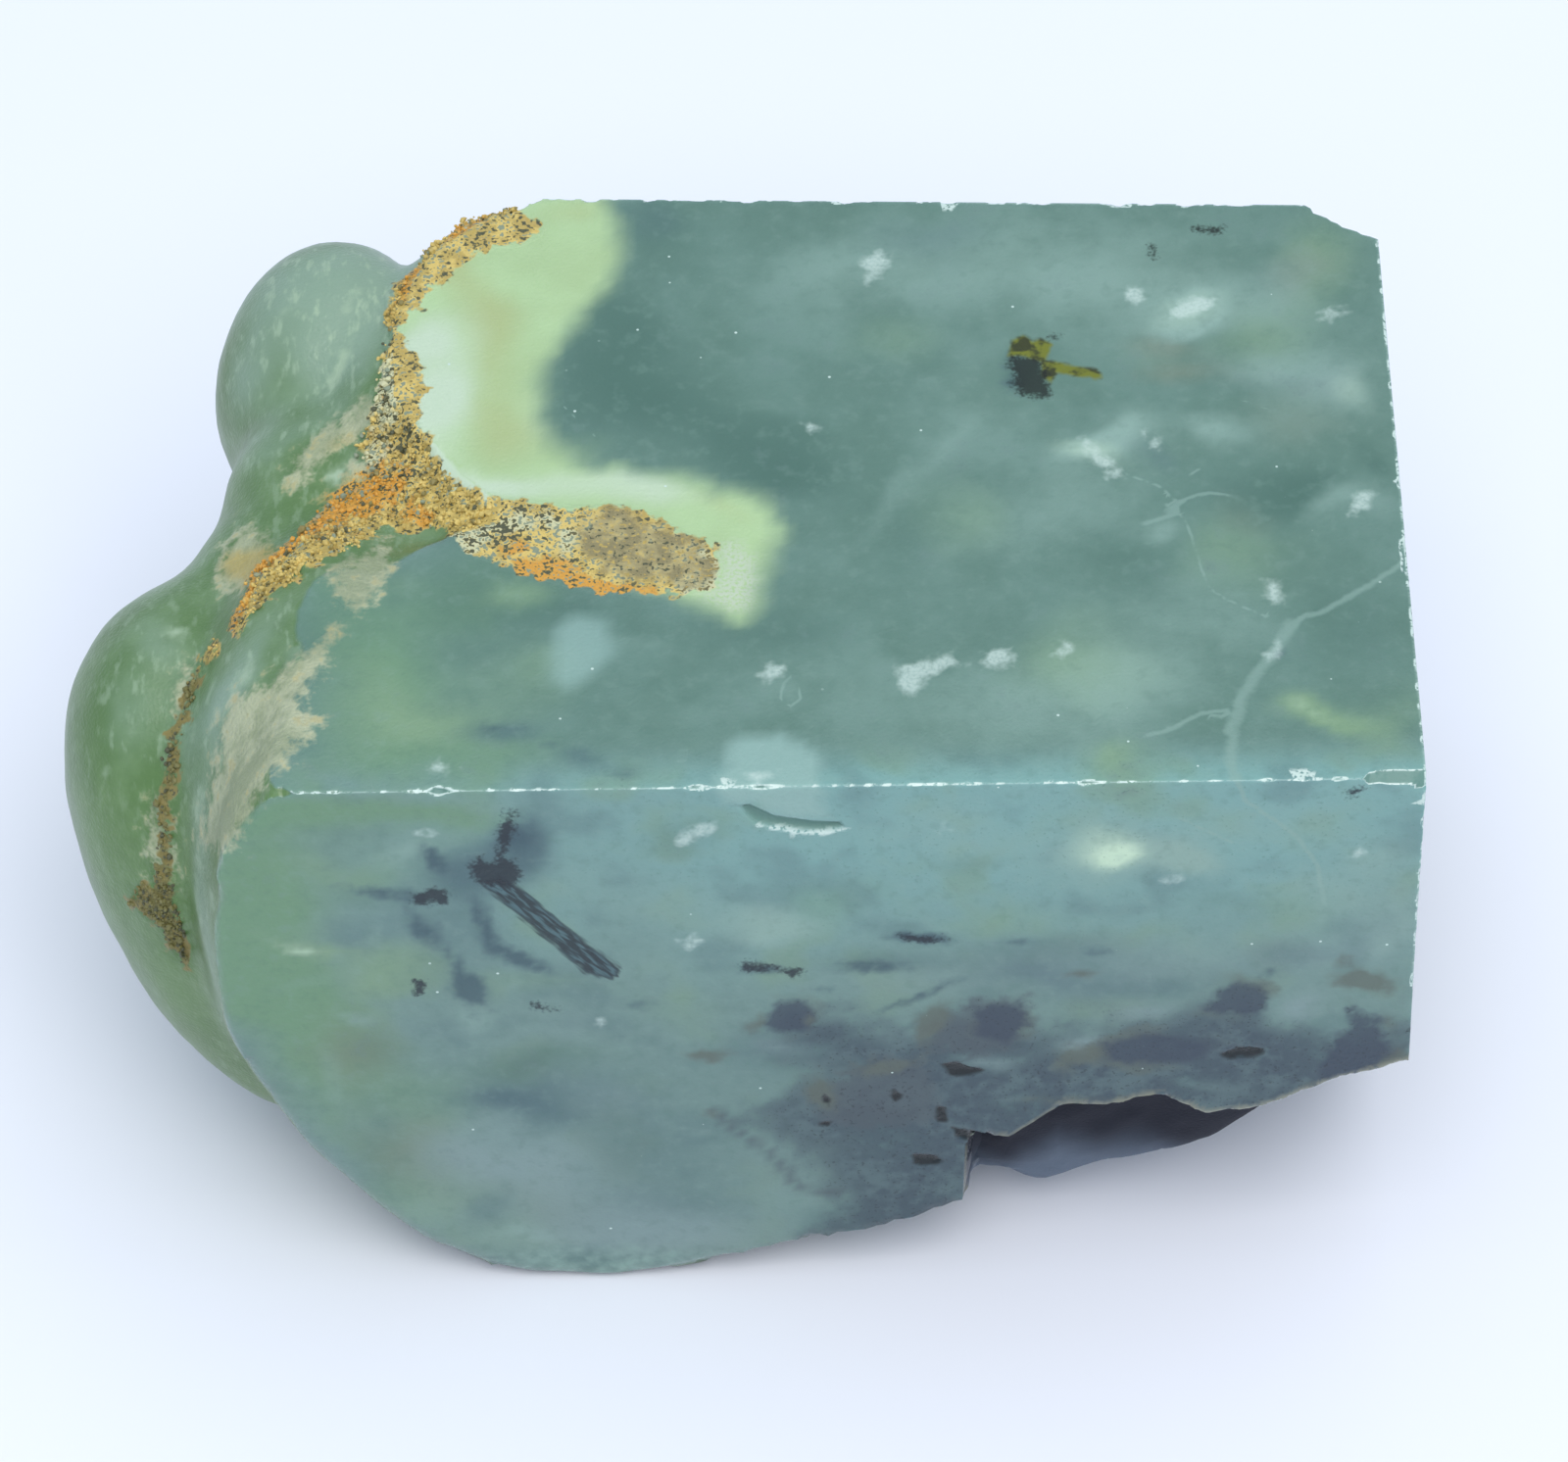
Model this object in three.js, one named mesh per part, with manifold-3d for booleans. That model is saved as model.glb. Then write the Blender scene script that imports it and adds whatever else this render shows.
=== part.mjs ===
// Raw prehnite: a chunk of botryoidal prehnite squared up by a rock saw.
// Millimetres, +Z up. Four faces are sawn flat: the top, the front, the right end and the back.
// The left side keeps its natural skin of round lobes, parted by a forked seam that is filled
// with iron-stained crust. The underside is broken rock. The stone is one solid.
//
// It is modelled from its sawn edge: x = 0 is a point on the top front edge, y runs back from
// that edge and z is 0 on the sawn top. It is then set down with its bounding box over the
// origin, and its lowest patches on z = 0.
import * as THREE from "three";
import { mergeVertices } from "three/addons/utils/BufferGeometryUtils.js";
import { ImprovedNoise } from "three/addons/math/ImprovedNoise.js";
import Module from "manifold-3d";

const wasm = await Module();
wasm.setup();

// ---- driving dimensions -------------------------------------------------------------------
const HEIGHT = 36; // floor to sawn top
const DEPTH = 37.9; // front face to back face, at x = 0
const RIGHT_END = 28.6; // x of the sawn right end, at the top
const FRONT_SKEW = 0.018; // the front face runs back by this much a millimetre to the right
const BACK_SKEW = -0.012; // the back face runs forward by this much a millimetre to the right
const RIGHT_LEAN = 0.03; // the right end leans out by this much a millimetre downwards
const CORNER_LOSS = { x: 3.4, y: 2.3 }; // what is knocked off the back right corner
const STEP_X = 9.3; // x where the bottom edge of the front steps up to the undercut
const BEYOND = 20; // how far a cutting solid reaches past the stone

// How uneven a surface is: height and wavelength of its waves, in millimetres.
const LOBE_SKIN = { height: 0.3, wave: 6 };
const HOLLOW_SKIN = { height: 0.8, wave: 4 };
const CHIP_SKIN = { height: 0.12, wave: 1 };
const CRUST_SKIN = { height: 0.35, wave: 1.8 };
const BREAK_SWELL = { height: 1.2, wave: 9 };
const BREAK_GRAIN = { height: 0.35, wave: 2.8 };
const FINER = 2.3; // wavelength of each wave over that of the finer one on it
const FINER_SHARE = 0.45; // height of the finer wave over that of the wave

// How finely a surface is divided: length of a triangle's side.
const LOBE_FACET = 1.5;
const HOLLOW_FACET = 2.3;
const CHIP_FACET = 0.6;
const CRUST_FACET = 1.1;
const CRUST_SIDES = 10; // corners round a ridge of crust
const CRUST_END = 2.5; // rings over which a ridge of crust draws in to its end
const EDGE_SHARPNESS = 16; // a higher power gives sharper edges between fracture planes

// ---- the natural stone --------------------------------------------------------------------
// The lobes. The foot of a lobe may be drawn aside: lean is how far to the right it goes for
// each millimetre down.
const LOBES = {
  back: { at: [-21.7, 33.0, -8.5], radii: [6.1, 7.0, 8.2] },
  saddle: { at: [-21.4, 24.0, -8.5], radii: [5.8, 7.0, 6.5] },
  neck: { at: [-22.1, 19.0, -9.3], radii: [6.5, 6.5, 6.5] },
  left: { at: [-24.6, 13.2, -20.1], radii: [8.5, 10.4, 15.7], lean: 0.27 },
  leftShoulder: { at: [-25.9, 15.5, -11.7], radii: [7.0, 6.0, 7.5] },
  front: { at: [-14.5, 9.8, -19.5], radii: [12.4, 19.5, 19.7], lean: 0.29 },
  frontShoulder: { at: [-11.3, 1.0, -6.0], radii: [14.4, 15.2, 10.0] },
  frontCrest: { at: [-14.3, 12.0, -2.0], radii: [4.0, 4.0, 6.0] },
  pale: { at: [-5.0, 27.8, -8.0], radii: [15.6, 13.6, 16.0] },
  lowBack: { at: [-15.5, 29.5, -19.5], radii: [9.5, 11.0, 12.0] },
  underLeft: { at: [-12.0, 22.0, -26.0], radii: [11.0, 10.0, 9.0] },
  bySawnBack: { at: [-10.0, 32.0, -20.0], radii: [8.0, 9.0, 15.0] },
  core: { at: [-13.0, 18.0, -16.0], radii: [9.0, 9.0, 12.0] },
};

// The rock behind the lobes, as fracture planes round a centre: an outward normal and a point
// on the plane. Its top, front, right and back lie outside the sawn faces.
const ROCK = {
  centre: [5, 18, -15],
  detail: 17,
  seed: 5,
  planes: {
    top: { normal: [0, 0, 1], through: [0, 0, 10] },
    front: { normal: [0, -1, 0], through: [0, -10, 0] },
    right: { normal: [1, 0, 0], through: [RIGHT_END + 10, 0, 0] },
    back: { normal: [0, 1, 0], through: [0, DEPTH + 10, 0] },
    left: { normal: [-1, 0.1, 0.05], through: [-7, 20, 0] },
    bottom: { normal: [0, 0, -1], through: [0, 0, -HEIGHT + 0.1] },
    bottomLeft: { normal: [-0.8, 0.1, -0.6], through: [-19, 0, -30] },
    bottomFront: { normal: [0.36, -0.45, -0.93], through: [-8, 0, -HEIGHT - 1] },
  },
};

// What is broken away from the lower right of the front. Its steep left side leaves a step in
// the stone's bottom edge.
const UNDERCUT = {
  centre: [24, -6, -31],
  detail: 11,
  seed: 2,
  rough: 0.55,
  planes: {
    slope: { normal: [-0.25, 0.9, 0.36], through: [28, 0.8, -15] },
    step: { normal: [-1, 0.1, 0.1], through: [STEP_X, 0, -28] },
    below: { normal: [0, 0, -1], through: [0, 0, -HEIGHT - 10] },
    right: { normal: [1, 0, 0], through: [RIGHT_END + BEYOND, 0, 0] },
    front: { normal: [0, -1, 0], through: [0, -BEYOND, 0] },
    top: { normal: [0, 0, 1], through: [0, 0, -6] },
  },
};

// The hollows broken out of the underside.
const HOLLOWS = {
  underLip: { at: [25, 3, -39], radii: [16, 13, 11.5] },
  underFrontLobe: { at: [-9, 17, -50], radii: [14, 13, 17] },
  middle: { at: [5, 13, -52.5], radii: [15, 14, 18.5] },
  towardsBack: { at: [11, 28, -53], radii: [15, 12, 19] },
  right: { at: [23, 17, -50], radii: [13, 12, 16.5] },
};

// The chips off the sawn edge between the top and the front.
const CHIPS = {
  middle: { at: [0.7, -0.35, -1.5], radii: [2.3, 0.75, 0.7] },
  right: { at: [27.6, -0.2, 0.9], radii: [3.4, 1.9, 1.5] },
  left: { at: [-23.2, -0.9, 0.4], radii: [1.9, 1.2, 1.1] },
};

// The ridges of iron-stained crust along the seams between the lobes. Each is a run of points,
// with the ridge's radius there.
const CRUST = {
  // from the back edge along the pale lobe, past the fork and down the left lobe
  seam: [
    { at: [-13.6, 38.4, -2.2], radius: 1.5 },
    { at: [-15.6, 35.6, -2.0], radius: 1.7 },
    { at: [-17.6, 32.6, -2.0], radius: 1.6 },
    { at: [-18.9, 29.6, -2.2], radius: 1.5 },
    { at: [-19.1, 26.2, -2.4], radius: 1.8 },
    { at: [-18.4, 22.6, -3.0], radius: 2.2 },
    { at: [-19.2, 19.4, -3.9], radius: 2.0 },
    { at: [-21.8, 16.9, -4.4], radius: 1.6 },
    { at: [-24.6, 15.1, -5.4], radius: 1.4 },
    { at: [-26.6, 12.0, -6.2], radius: 1.3 },
    { at: [-27.8, 8.4, -7.4], radius: 1.3 },
    { at: [-28.2, 5.8, -10.6], radius: 1.4 },
    { at: [-28.5, 5.0, -14.4], radius: 1.5 },
    { at: [-27.8, 5.4, -18.0], radius: 1.0 },
  ],
  // from the fork into the cleft, where the saw has cut it level with the top
  cleft: [
    { at: [-19.5, 21.5, -3.6], radius: 1.2 },
    { at: [-16.6, 19.4, -3.6], radius: 2.9 },
    { at: [-13.4, 17.3, -3.3], radius: 3.1 },
    { at: [-10.2, 15.6, -3.0], radius: 3.1 },
    { at: [-7.0, 14.4, -2.6], radius: 3.1 },
    { at: [-4.0, 13.2, -2.4], radius: 3.0 },
    { at: [-1.0, 12.2, -2.2], radius: 2.4 },
  ],
};

// ---- shaping ------------------------------------------------------------------------------
const noise = new ImprovedNoise();

// How far a point is thrown out of its surface by two waves, the finer on the coarser.
function unevenness(point, { height, wave }, seed) {
  const { x, y, z } = point.clone().divideScalar(wave);
  const coarse = noise.noise(x + seed, y, z);
  const fine = noise.noise(x * FINER, y * FINER + seed, z * FINER);
  return height * (coarse + FINER_SHARE * fine);
}

// A solid from a closed geometry.
function solid(geometry) {
  const bare = geometry.clone();
  bare.deleteAttribute("normal");
  bare.deleteAttribute("uv");
  const merged = mergeVertices(bare);
  return new wasm.Manifold(
    new wasm.Mesh({
      numProp: 3,
      vertProperties: merged.attributes.position.array,
      triVerts: new Uint32Array(merged.index.array),
    }),
  );
}

// A geometry from a solid.
function geometryOf(made) {
  const mesh = made.getMesh();
  const geometry = new THREE.BufferGeometry();
  geometry.setAttribute("position", new THREE.BufferAttribute(mesh.vertProperties, 3));
  geometry.setIndex(new THREE.BufferAttribute(mesh.triVerts, 1));
  geometry.computeVertexNormals();
  return geometry;
}

function joined(solids) {
  return solids.reduce((all, next) => all.add(next));
}

// An icosahedron divided into small triangles, with each corner moved to where place puts it.
function shapedBall(detail, place) {
  const geometry = new THREE.IcosahedronGeometry(1, detail);
  const position = geometry.attributes.position;
  const corner = new THREE.Vector3();
  for (let i = 0; i < position.count; i++) {
    corner.fromBufferAttribute(position, i).normalize();
    place(corner);
    position.setXYZ(i, corner.x, corner.y, corner.z);
  }
  return solid(geometry);
}

// A round solid with an uneven skin: a lobe, a hollow or a chip.
function round({ at, radii, lean = 0 }, skin, facet, seed) {
  const size = new THREE.Vector3(...radii);
  const centre = new THREE.Vector3(...at);
  const detail = Math.max(2, Math.round(Math.max(...radii) / facet));
  return shapedBall(detail, (corner) => {
    const out = corner.clone();
    corner.multiply(size);
    corner.x -= lean * corner.z;
    corner.add(centre);
    corner.addScaledVector(out, unevenness(corner, skin, seed));
  });
}

// One round solid for each entry of a list of them.
function rounds(list, skin, facet, firstSeed) {
  return Object.values(list).map((each, i) => round(each, skin, facet, firstSeed + 3.7 * i));
}

// A solid of broken rock: a ball pushed out to its fracture planes, with uneven faces and
// rounded edges between them.
function broken({ centre, planes, detail, seed, rough = 1 }) {
  const middle = new THREE.Vector3(...centre);
  const faces = Object.values(planes).map(({ normal, through }) => {
    const out = new THREE.Vector3(...normal).normalize();
    const reach = new THREE.Vector3(...through).sub(middle).dot(out);
    return { out, reach };
  });
  return shapedBall(detail, (corner) => {
    const way = corner.clone();
    const nearness = faces.map(({ out, reach }) => Math.max(0, way.dot(out) / reach));
    const sum = nearness.reduce((all, each) => all + each ** EDGE_SHARPNESS, 0);
    corner.multiplyScalar(sum ** (-1 / EDGE_SHARPNESS)).add(middle);
    const swell = unevenness(corner, BREAK_SWELL, seed);
    const grain = unevenness(corner, BREAK_GRAIN, seed + 4);
    corner.addScaledVector(way, rough * (swell + grain));
  });
}

// A ridge of crust: a cylinder bent along its run, with the radius drawn in to both ends.
function ridge(run, seed) {
  const curve = new THREE.CatmullRomCurve3(run.map(({ at }) => new THREE.Vector3(...at)));
  const rings = Math.round(curve.getLength() / CRUST_FACET);
  const frames = curve.computeFrenetFrames(rings, false);
  const geometry = new THREE.CylinderGeometry(1, 1, rings, CRUST_SIDES, rings);
  const position = geometry.attributes.position;
  for (let i = 0; i < position.count; i++) {
    const ring = Math.round(position.getY(i) + rings / 2);
    const t = curve.getUtoTmapping(ring / rings);
    const place = t * (run.length - 1);
    const before = Math.min(Math.floor(place), run.length - 2);
    const { radius } = run[before];
    const widened = THREE.MathUtils.lerp(radius, run[before + 1].radius, place - before);
    const fromEnd = Math.min(ring, rings - ring) + 0.5;
    const drawnIn = Math.sqrt(Math.min(1, fromEnd / CRUST_END));
    const out = new THREE.Vector3()
      .addScaledVector(frames.binormals[ring], position.getX(i))
      .addScaledVector(frames.normals[ring], position.getZ(i));
    const corner = curve.getPoint(t).addScaledVector(out, widened * drawnIn);
    corner.addScaledVector(out, unevenness(corner, CRUST_SKIN, seed));
    position.setXYZ(i, corner.x, corner.y, corner.z);
  }
  return solid(geometry);
}

// The block that the saw leaves: seen from above, an outline with one lost corner.
function sawnBlock() {
  const left = -RIGHT_END - BEYOND;
  const front = (x) => FRONT_SKEW * x;
  const back = (x) => DEPTH + BACK_SKEW * x;
  const outline = new THREE.Shape([
    new THREE.Vector2(left, front(left)),
    new THREE.Vector2(RIGHT_END, front(RIGHT_END)),
    new THREE.Vector2(RIGHT_END, back(RIGHT_END) - CORNER_LOSS.y),
    new THREE.Vector2(RIGHT_END - CORNER_LOSS.x, back(RIGHT_END - CORNER_LOSS.x)),
    new THREE.Vector2(left, back(left)),
  ]);
  const block = new THREE.ExtrudeGeometry(outline, { depth: HEIGHT, bevelEnabled: false });
  block.translate(0, 0, -HEIGHT);
  const position = block.attributes.position;
  for (let i = 0; i < position.count; i++) {
    const atRight = position.getX(i) > 0;
    if (atRight) position.setX(i, position.getX(i) - RIGHT_LEAN * position.getZ(i));
  }
  return solid(block);
}

// ---- the part -----------------------------------------------------------------------------
const lobes = rounds(LOBES, LOBE_SKIN, LOBE_FACET, 0);
const hollows = rounds(HOLLOWS, HOLLOW_SKIN, HOLLOW_FACET, 40);
const chips = rounds(CHIPS, CHIP_SKIN, CHIP_FACET, 60);
const crust = Object.values(CRUST).map(ridge);
const stone = joined([broken(ROCK), ...lobes, ...crust])
  .intersect(sawnBlock())
  .subtract(joined([broken(UNDERCUT), ...hollows, ...chips]));

const prehnite = new THREE.Mesh(
  geometryOf(stone),
  new THREE.MeshStandardMaterial({ color: 0x7d9c8a, roughness: 0.35, metalness: 0 }),
);
prehnite.name = "prehnite";
prehnite.geometry.computeBoundingBox();
const box = prehnite.geometry.boundingBox;
prehnite.position.set(-(box.min.x + box.max.x) / 2, -(box.min.y + box.max.y) / 2, -box.min.z);

const part = new THREE.Group();
part.add(prehnite);
export default part;
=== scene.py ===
"""Raw prehnite: a milky grey-green stone sawn flat on four sides, with round
natural lobes and rusty seams at its left end and broken rock under it."""

import itertools
from math import radians

import bpy
import numpy as np
from mathutils import Matrix, Vector


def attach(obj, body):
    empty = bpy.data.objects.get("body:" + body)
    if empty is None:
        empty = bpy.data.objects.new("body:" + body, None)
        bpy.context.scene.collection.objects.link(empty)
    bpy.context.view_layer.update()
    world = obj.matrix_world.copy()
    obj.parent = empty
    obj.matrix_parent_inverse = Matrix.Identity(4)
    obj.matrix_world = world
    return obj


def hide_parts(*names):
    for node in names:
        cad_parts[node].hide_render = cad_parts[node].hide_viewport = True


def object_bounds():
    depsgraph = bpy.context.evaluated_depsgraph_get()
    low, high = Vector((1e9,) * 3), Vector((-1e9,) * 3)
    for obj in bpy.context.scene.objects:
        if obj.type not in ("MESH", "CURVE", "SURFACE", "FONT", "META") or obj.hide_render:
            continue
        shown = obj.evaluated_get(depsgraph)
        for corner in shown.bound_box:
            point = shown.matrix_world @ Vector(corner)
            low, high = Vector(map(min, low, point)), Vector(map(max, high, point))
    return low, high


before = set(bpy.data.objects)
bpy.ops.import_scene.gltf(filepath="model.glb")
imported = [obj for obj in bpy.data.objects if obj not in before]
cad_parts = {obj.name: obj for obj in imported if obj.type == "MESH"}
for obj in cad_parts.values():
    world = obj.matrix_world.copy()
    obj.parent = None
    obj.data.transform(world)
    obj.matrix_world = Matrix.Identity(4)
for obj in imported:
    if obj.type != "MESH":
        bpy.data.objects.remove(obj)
cad_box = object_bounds()
bpy.context.scene.view_settings.view_transform = "Standard"
for thing in bpy.context.selected_objects:
    thing.select_set(False)

# Lengths are in millimetres, and MM brings them to metres.
MM = 0.001

# Sawn faces of the stone: the way each faces, and a point on it.
SAWN = {
    "top": ((0, 0, 1), (0, 0, 36)),
    "front": ((0.018, -1, 0), (2.234, -18.88, 0)),
    "back": ((0.012, 1, 0), (2.234, 19.02, 0)),
    "end": ((1, 0, 0.03), (30.834, 0, 36)),
}
EDGES = [("top", "front"), ("top", "end"), ("top", "back"), ("front", "end"), ("back", "end")]

# Corners within WELD become one, and even faces are EVEN_FACE wide. What lies
# within ON_FACE of a sawn plane, or beside that and within NEAR_FACE, is brought
# onto it, and what is then within STILL_SAWN is sawn. An edge stays sharp past
# CREASE degrees.
WELD = 0.002
EVEN_FACE = 0.46
ON_FACE = 0.1
NEAR_FACE = 0.3
STILL_SAWN = 0.06
SMOOTH_ROUNDS = 20
BORDER_ROUNDS = 8
CREASE = 38

# Chips along the sawn edges: where their noise starts, its size and layers, how much of it is cut
# off, and how deep they go. WORN is lost all along, and the broken corner is marked as a chip of
# CORNER_CHIP, deep enough to take the painted shade of wide chips.
CHIPS = [(0, 0.4, 2, 0, 0.1), (31, 1.2, 2, 0.4, 0.28), (57, 4.5, 1, 0.7, 0.7)]
CHIP_REACH = 1.5
WORN = 0.012
CORNER_CHIP = 0.3

# How deep the rock breaks back under the front lip, how far it hangs there, the
# half width of the crust's seam on the lobes, and how many grains lie on crust.
RECESS = 1.1
SAG = 2.8
CRUST_SEAM_HALF = 0.24
GRAINS = 4200

# Random heights that repeat in space: SWELL_STEP sets finer layers apart from
# wider ones, and SWELL_GAIN brings them to about -1 to 1.
GRID = 24
SWELLS = np.random.default_rng(11).uniform(-1, 1, (GRID, GRID, GRID))
SWELL_STEP = 7.3
SWELL_GAIN = 1.6

# Markings are placed on three charts: the top by x and y, the front by x and z,
# and the lobes by x and by how high they look from above the front, which is
# LEAN of the way across the stone and RISE of the way up it. An oval is its
# middle, half length, half width, strength, and its turn in degrees if it has
# one. A marking's depth is above 0 inside it, OUTSIDE off its chart, and stored
# within HELD. It reaches MARK_REACH under its face. FAR and SEAM_FAR are more
# than any distance on the stone.
LEAN = 0.743
RISE = 0.669
OUTSIDE = -9.0
HELD = 3
FAR = 1e6
SEAM_FAR = 40.0
MARK_REACH = {"top": 0.5, "front": 9}
FROST_REACH = 0.2
WIDE_CLOUDS = ("khaki", "pale", "deep", "veil", "moss", "umber", "dusk", "painted_glow", "leaf", "ash")

# Clouds on the hidden sawn faces: where their noise starts, and their strength.
HIDDEN_CLOUDS = {"veil": (61, 0.9), "deep": (73, 0.9), "moss": (87, 0.45), "umber": (95, 0.5)}

# Outlines on the top: the mint zone, the crust in it with its dusky part and its
# cream rim, the milky spot, and the bruise at the front edge.
MINT = [
    (-6.4, 19.4), (-6, 17.3), (-5.7, 15), (-6.2, 13), (-7.5, 11.2), (-8.5, 9.1), (-9.2, 6.9),
    (-9.3, 5.2), (-9.1, 3.2), (-8.2, 1.9), (-6.6, 0.9), (-4.8, 0.7), (-2.5, 0.3), (-0.9, -0.6),
    (0.9, -0.9), (1.7, -2), (1.9, -3.2), (1.6, -4.9), (1.1, -7.2), (0.3, -8.8), (-1.3, -8.2),
    (-5, -6), (-12, -3), (-18, 4), (-18, 12), (-12, 20),
]
MATRIX = [
    (-13.5, 0.1), (-12.3, -0.1), (-10.9, -1), (-9.3, -1.3), (-7.3, -1.6), (-5.5, -1.5), (-4.1, -2),
    (-2.3, -3.3), (-0.9, -4.2), (-0.6, -5.5), (-1.1, -6.7), (-2.4, -7.3), (-4, -7.2), (-6.3, -7),
    (-8.1, -6.5), (-10.3, -5.5), (-11.7, -4.9), (-12.6, -4.3), (-13.4, -2.2),
]
DUSKY = [
    (-7.2, -1.8), (-5.5, -1.5), (-4.1, -2), (-2.3, -3.3), (-1, -4.1), (-1.2, -5.2), (-1.1, -6.6),
    (-2.2, -6.6), (-3.6, -6), (-5, -6), (-6, -5.4), (-6.8, -4), (-7.2, -2.8),
]
CREAM = [
    (-1.2, -4), (0, -3.6), (1, -4.6), (1.3, -6.6), (0.6, -8.2), (-0.6, -8.1), (-2.2, -7.5),
    (-1.1, -6.7), (-0.6, -5.5),
]
MILKY = [
    (-8.1, -9.4), (-7.3, -8.6), (-6, -8.9), (-5.6, -10.7), (-6.4, -11.9), (-7.5, -13),
    (-8.1, -12.4),
]
BRUISE = [
    (-0.6, -17.4), (-0.2, -16.2), (0.5, -15.9), (1.8, -15.8), (3, -16.2), (3.8, -17), (4, -20),
    (-0.7, -20),
]

# Outlines on the front: the bruise, the scoop under it, and the slate zone. Lines
# on it: the crack, the run of the needle, and the broken lower lip.
BRUISE_IN_FRONT = [
    (-0.7, 37), (-0.6, 35.6), (0.2, 35), (0.9, 34.7), (1.9, 34), (3.5, 33.6), (4.5, 33.8),
    (4.1, 35), (3.9, 37),
]
SCOOP = [
    (0.1, 34.8), (0.6, 33.9), (1.1, 33.4), (2, 33.1), (2.9, 32.9), (4, 32.8), (5.1, 33.1),
    (4.8, 33.6), (3.5, 33.7), (1.8, 34.1), (0.7, 34.9),
]
SLATE = [
    (1.5, 19), (4.5, 20.8), (8, 19.6), (11, 20.6), (14.5, 19.4), (18, 19.6), (22, 21.6), (25, 20),
    (28, 19), (33, 21), (33, 2), (2, 2), (3.6, 6), (1.4, 9), (-1.4, 12.6), (1.8, 14.2), (3.8, 16),
    (1, 17.6),
]
CRACK = [(-1, 13.2), (0.1, 11.3), (1.8, 9.1), (3.2, 6.8), (5, 6.7)]
NEEDLE_WAY = ((-10.9, 30), (-5.4, 23.2))
LIP = [
    (11.2, 11.3), (12.1, 10.9), (12.9, 10.7), (13.8, 11.7), (14.8, 12.6), (15.3, 13.3),
    (17.2, 13.1), (18.8, 13.6), (20, 13.8), (20.9, 13.2), (22.1, 12.4), (23.5, 12.6), (24.9, 12.9),
    (26.2, 13.6), (27.3, 14.4), (28.2, 14.8), (29.8, 15.5), (31.6, 16.2),
]

# Outlines on the lobes: the crust, its low end, and patches of sand. The seam
# runs on as a line, and what is out of sight follows lines in space, each with
# its half width.
CRUST = [
    (-9.8, 36.6), (-11, 37), (-12, 37.2), (-13.4, 36.4), (-14.5, 35.9), (-15.2, 34.5),
    (-16.2, 33.5), (-16.6, 32.2), (-16.4, 31.2), (-16.9, 30.2), (-17, 28.5), (-17.2, 27.1),
    (-17.8, 25.9), (-17, 24.7), (-19.1, 23.3), (-20.5, 21.3), (-22.2, 20.2), (-22.8, 18.6),
    (-23.3, 17.2), (-22.7, 16.9), (-21.5, 18.8), (-19.8, 19.9), (-18.1, 20.8), (-16.3, 21.8),
    (-15.4, 21.7), (-14.1, 21.9), (-12.8, 21.9), (-12.9, 23.7), (-14, 25.2), (-14.6, 26.6),
    (-14.8, 27.5), (-14.6, 28.5), (-14.7, 29.6), (-15.8, 30.9), (-16, 31.9), (-15.1, 33.4),
    (-14.6, 34.1), (-13.3, 35.3), (-11.9, 36.2), (-10.7, 36.2),
]
CRUST_END = [(-28.3, 4.7), (-27.6, 5.4), (-26.5, 5.5), (-25.9, 5.2), (-25.8, 3.2), (-27.2, 3.6)]
CRUST_SEAM = [
    (-23.9, 16.4), (-24.7, 15.5), (-25.3, 13.4), (-25.9, 12.2), (-25.9, 10.7), (-26.3, 9.1),
    (-26.3, 8), (-26.4, 6.6), (-26.3, 5.2),
]
SANDS = [
    [(-18.1, 17.3), (-18.4, 16.2), (-18.9, 15.1), (-19.5, 13.8), (-18.7, 12.9), (-19.5, 11.5),
     (-20.8, 10.6), (-21.5, 9), (-22.3, 7.5), (-23.1, 7.1), (-24.6, 7.6), (-23.7, 10.1),
     (-23.3, 12), (-23.6, 13.1), (-22.3, 14.3), (-21.1, 14.4), (-20.3, 15.5), (-19.1, 16.5)],
    [(-24.4, 19.7), (-24.1, 21.1), (-23.3, 22.2), (-22.5, 22), (-21.8, 21.2), (-20.4, 20.4),
     (-21.6, 19.1), (-23.6, 19)],
    [(-21.2, 24.5), (-20.2, 25.9), (-18.9, 27.2), (-17.4, 28.3), (-16.5, 27.6), (-16.8, 26.5),
     (-18.5, 25.9), (-19.4, 25.2), (-20.8, 24)],
    [(-18.7, 19.8), (-18, 20.4), (-17, 20.6), (-16, 21.4), (-15.8, 20), (-16.5, 18.4),
     (-17.4, 17.9), (-18.1, 18.6)],
    [(-18.4, 24.5), (-17.9, 25.4), (-17, 24.8), (-17.5, 23.6), (-19.2, 22.6), (-19.4, 23),
     (-18.6, 23.6)],
    [(-24.9, 15.8), (-25.1, 13.9), (-25.7, 13.3), (-25.9, 14.6), (-25.5, 15.6)],
    [(-26.7, 9.5), (-26.1, 9.5), (-26, 5.4), (-27, 5.6), (-27.2, 7)],
]
HIDDEN_CRUST = [
    (1.1, [(-11.4, 18.3, 36), (-12.6, 18.6, 33.5), (-14.2, 18, 30.5), (-14.3, 18.2, 27.6),
     (-14.1, 18.4, 25.6), (-13.2, 19, 24.3)]),
    (0.6, [(-26.4, -14.3, 25), (-26, -15, 21), (-24.6, -14.6, 17)]),
    (0.8, [(-27.6, 2.2, 29), (-29, 3, 24), (-28, 4, 18)]),
]

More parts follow.
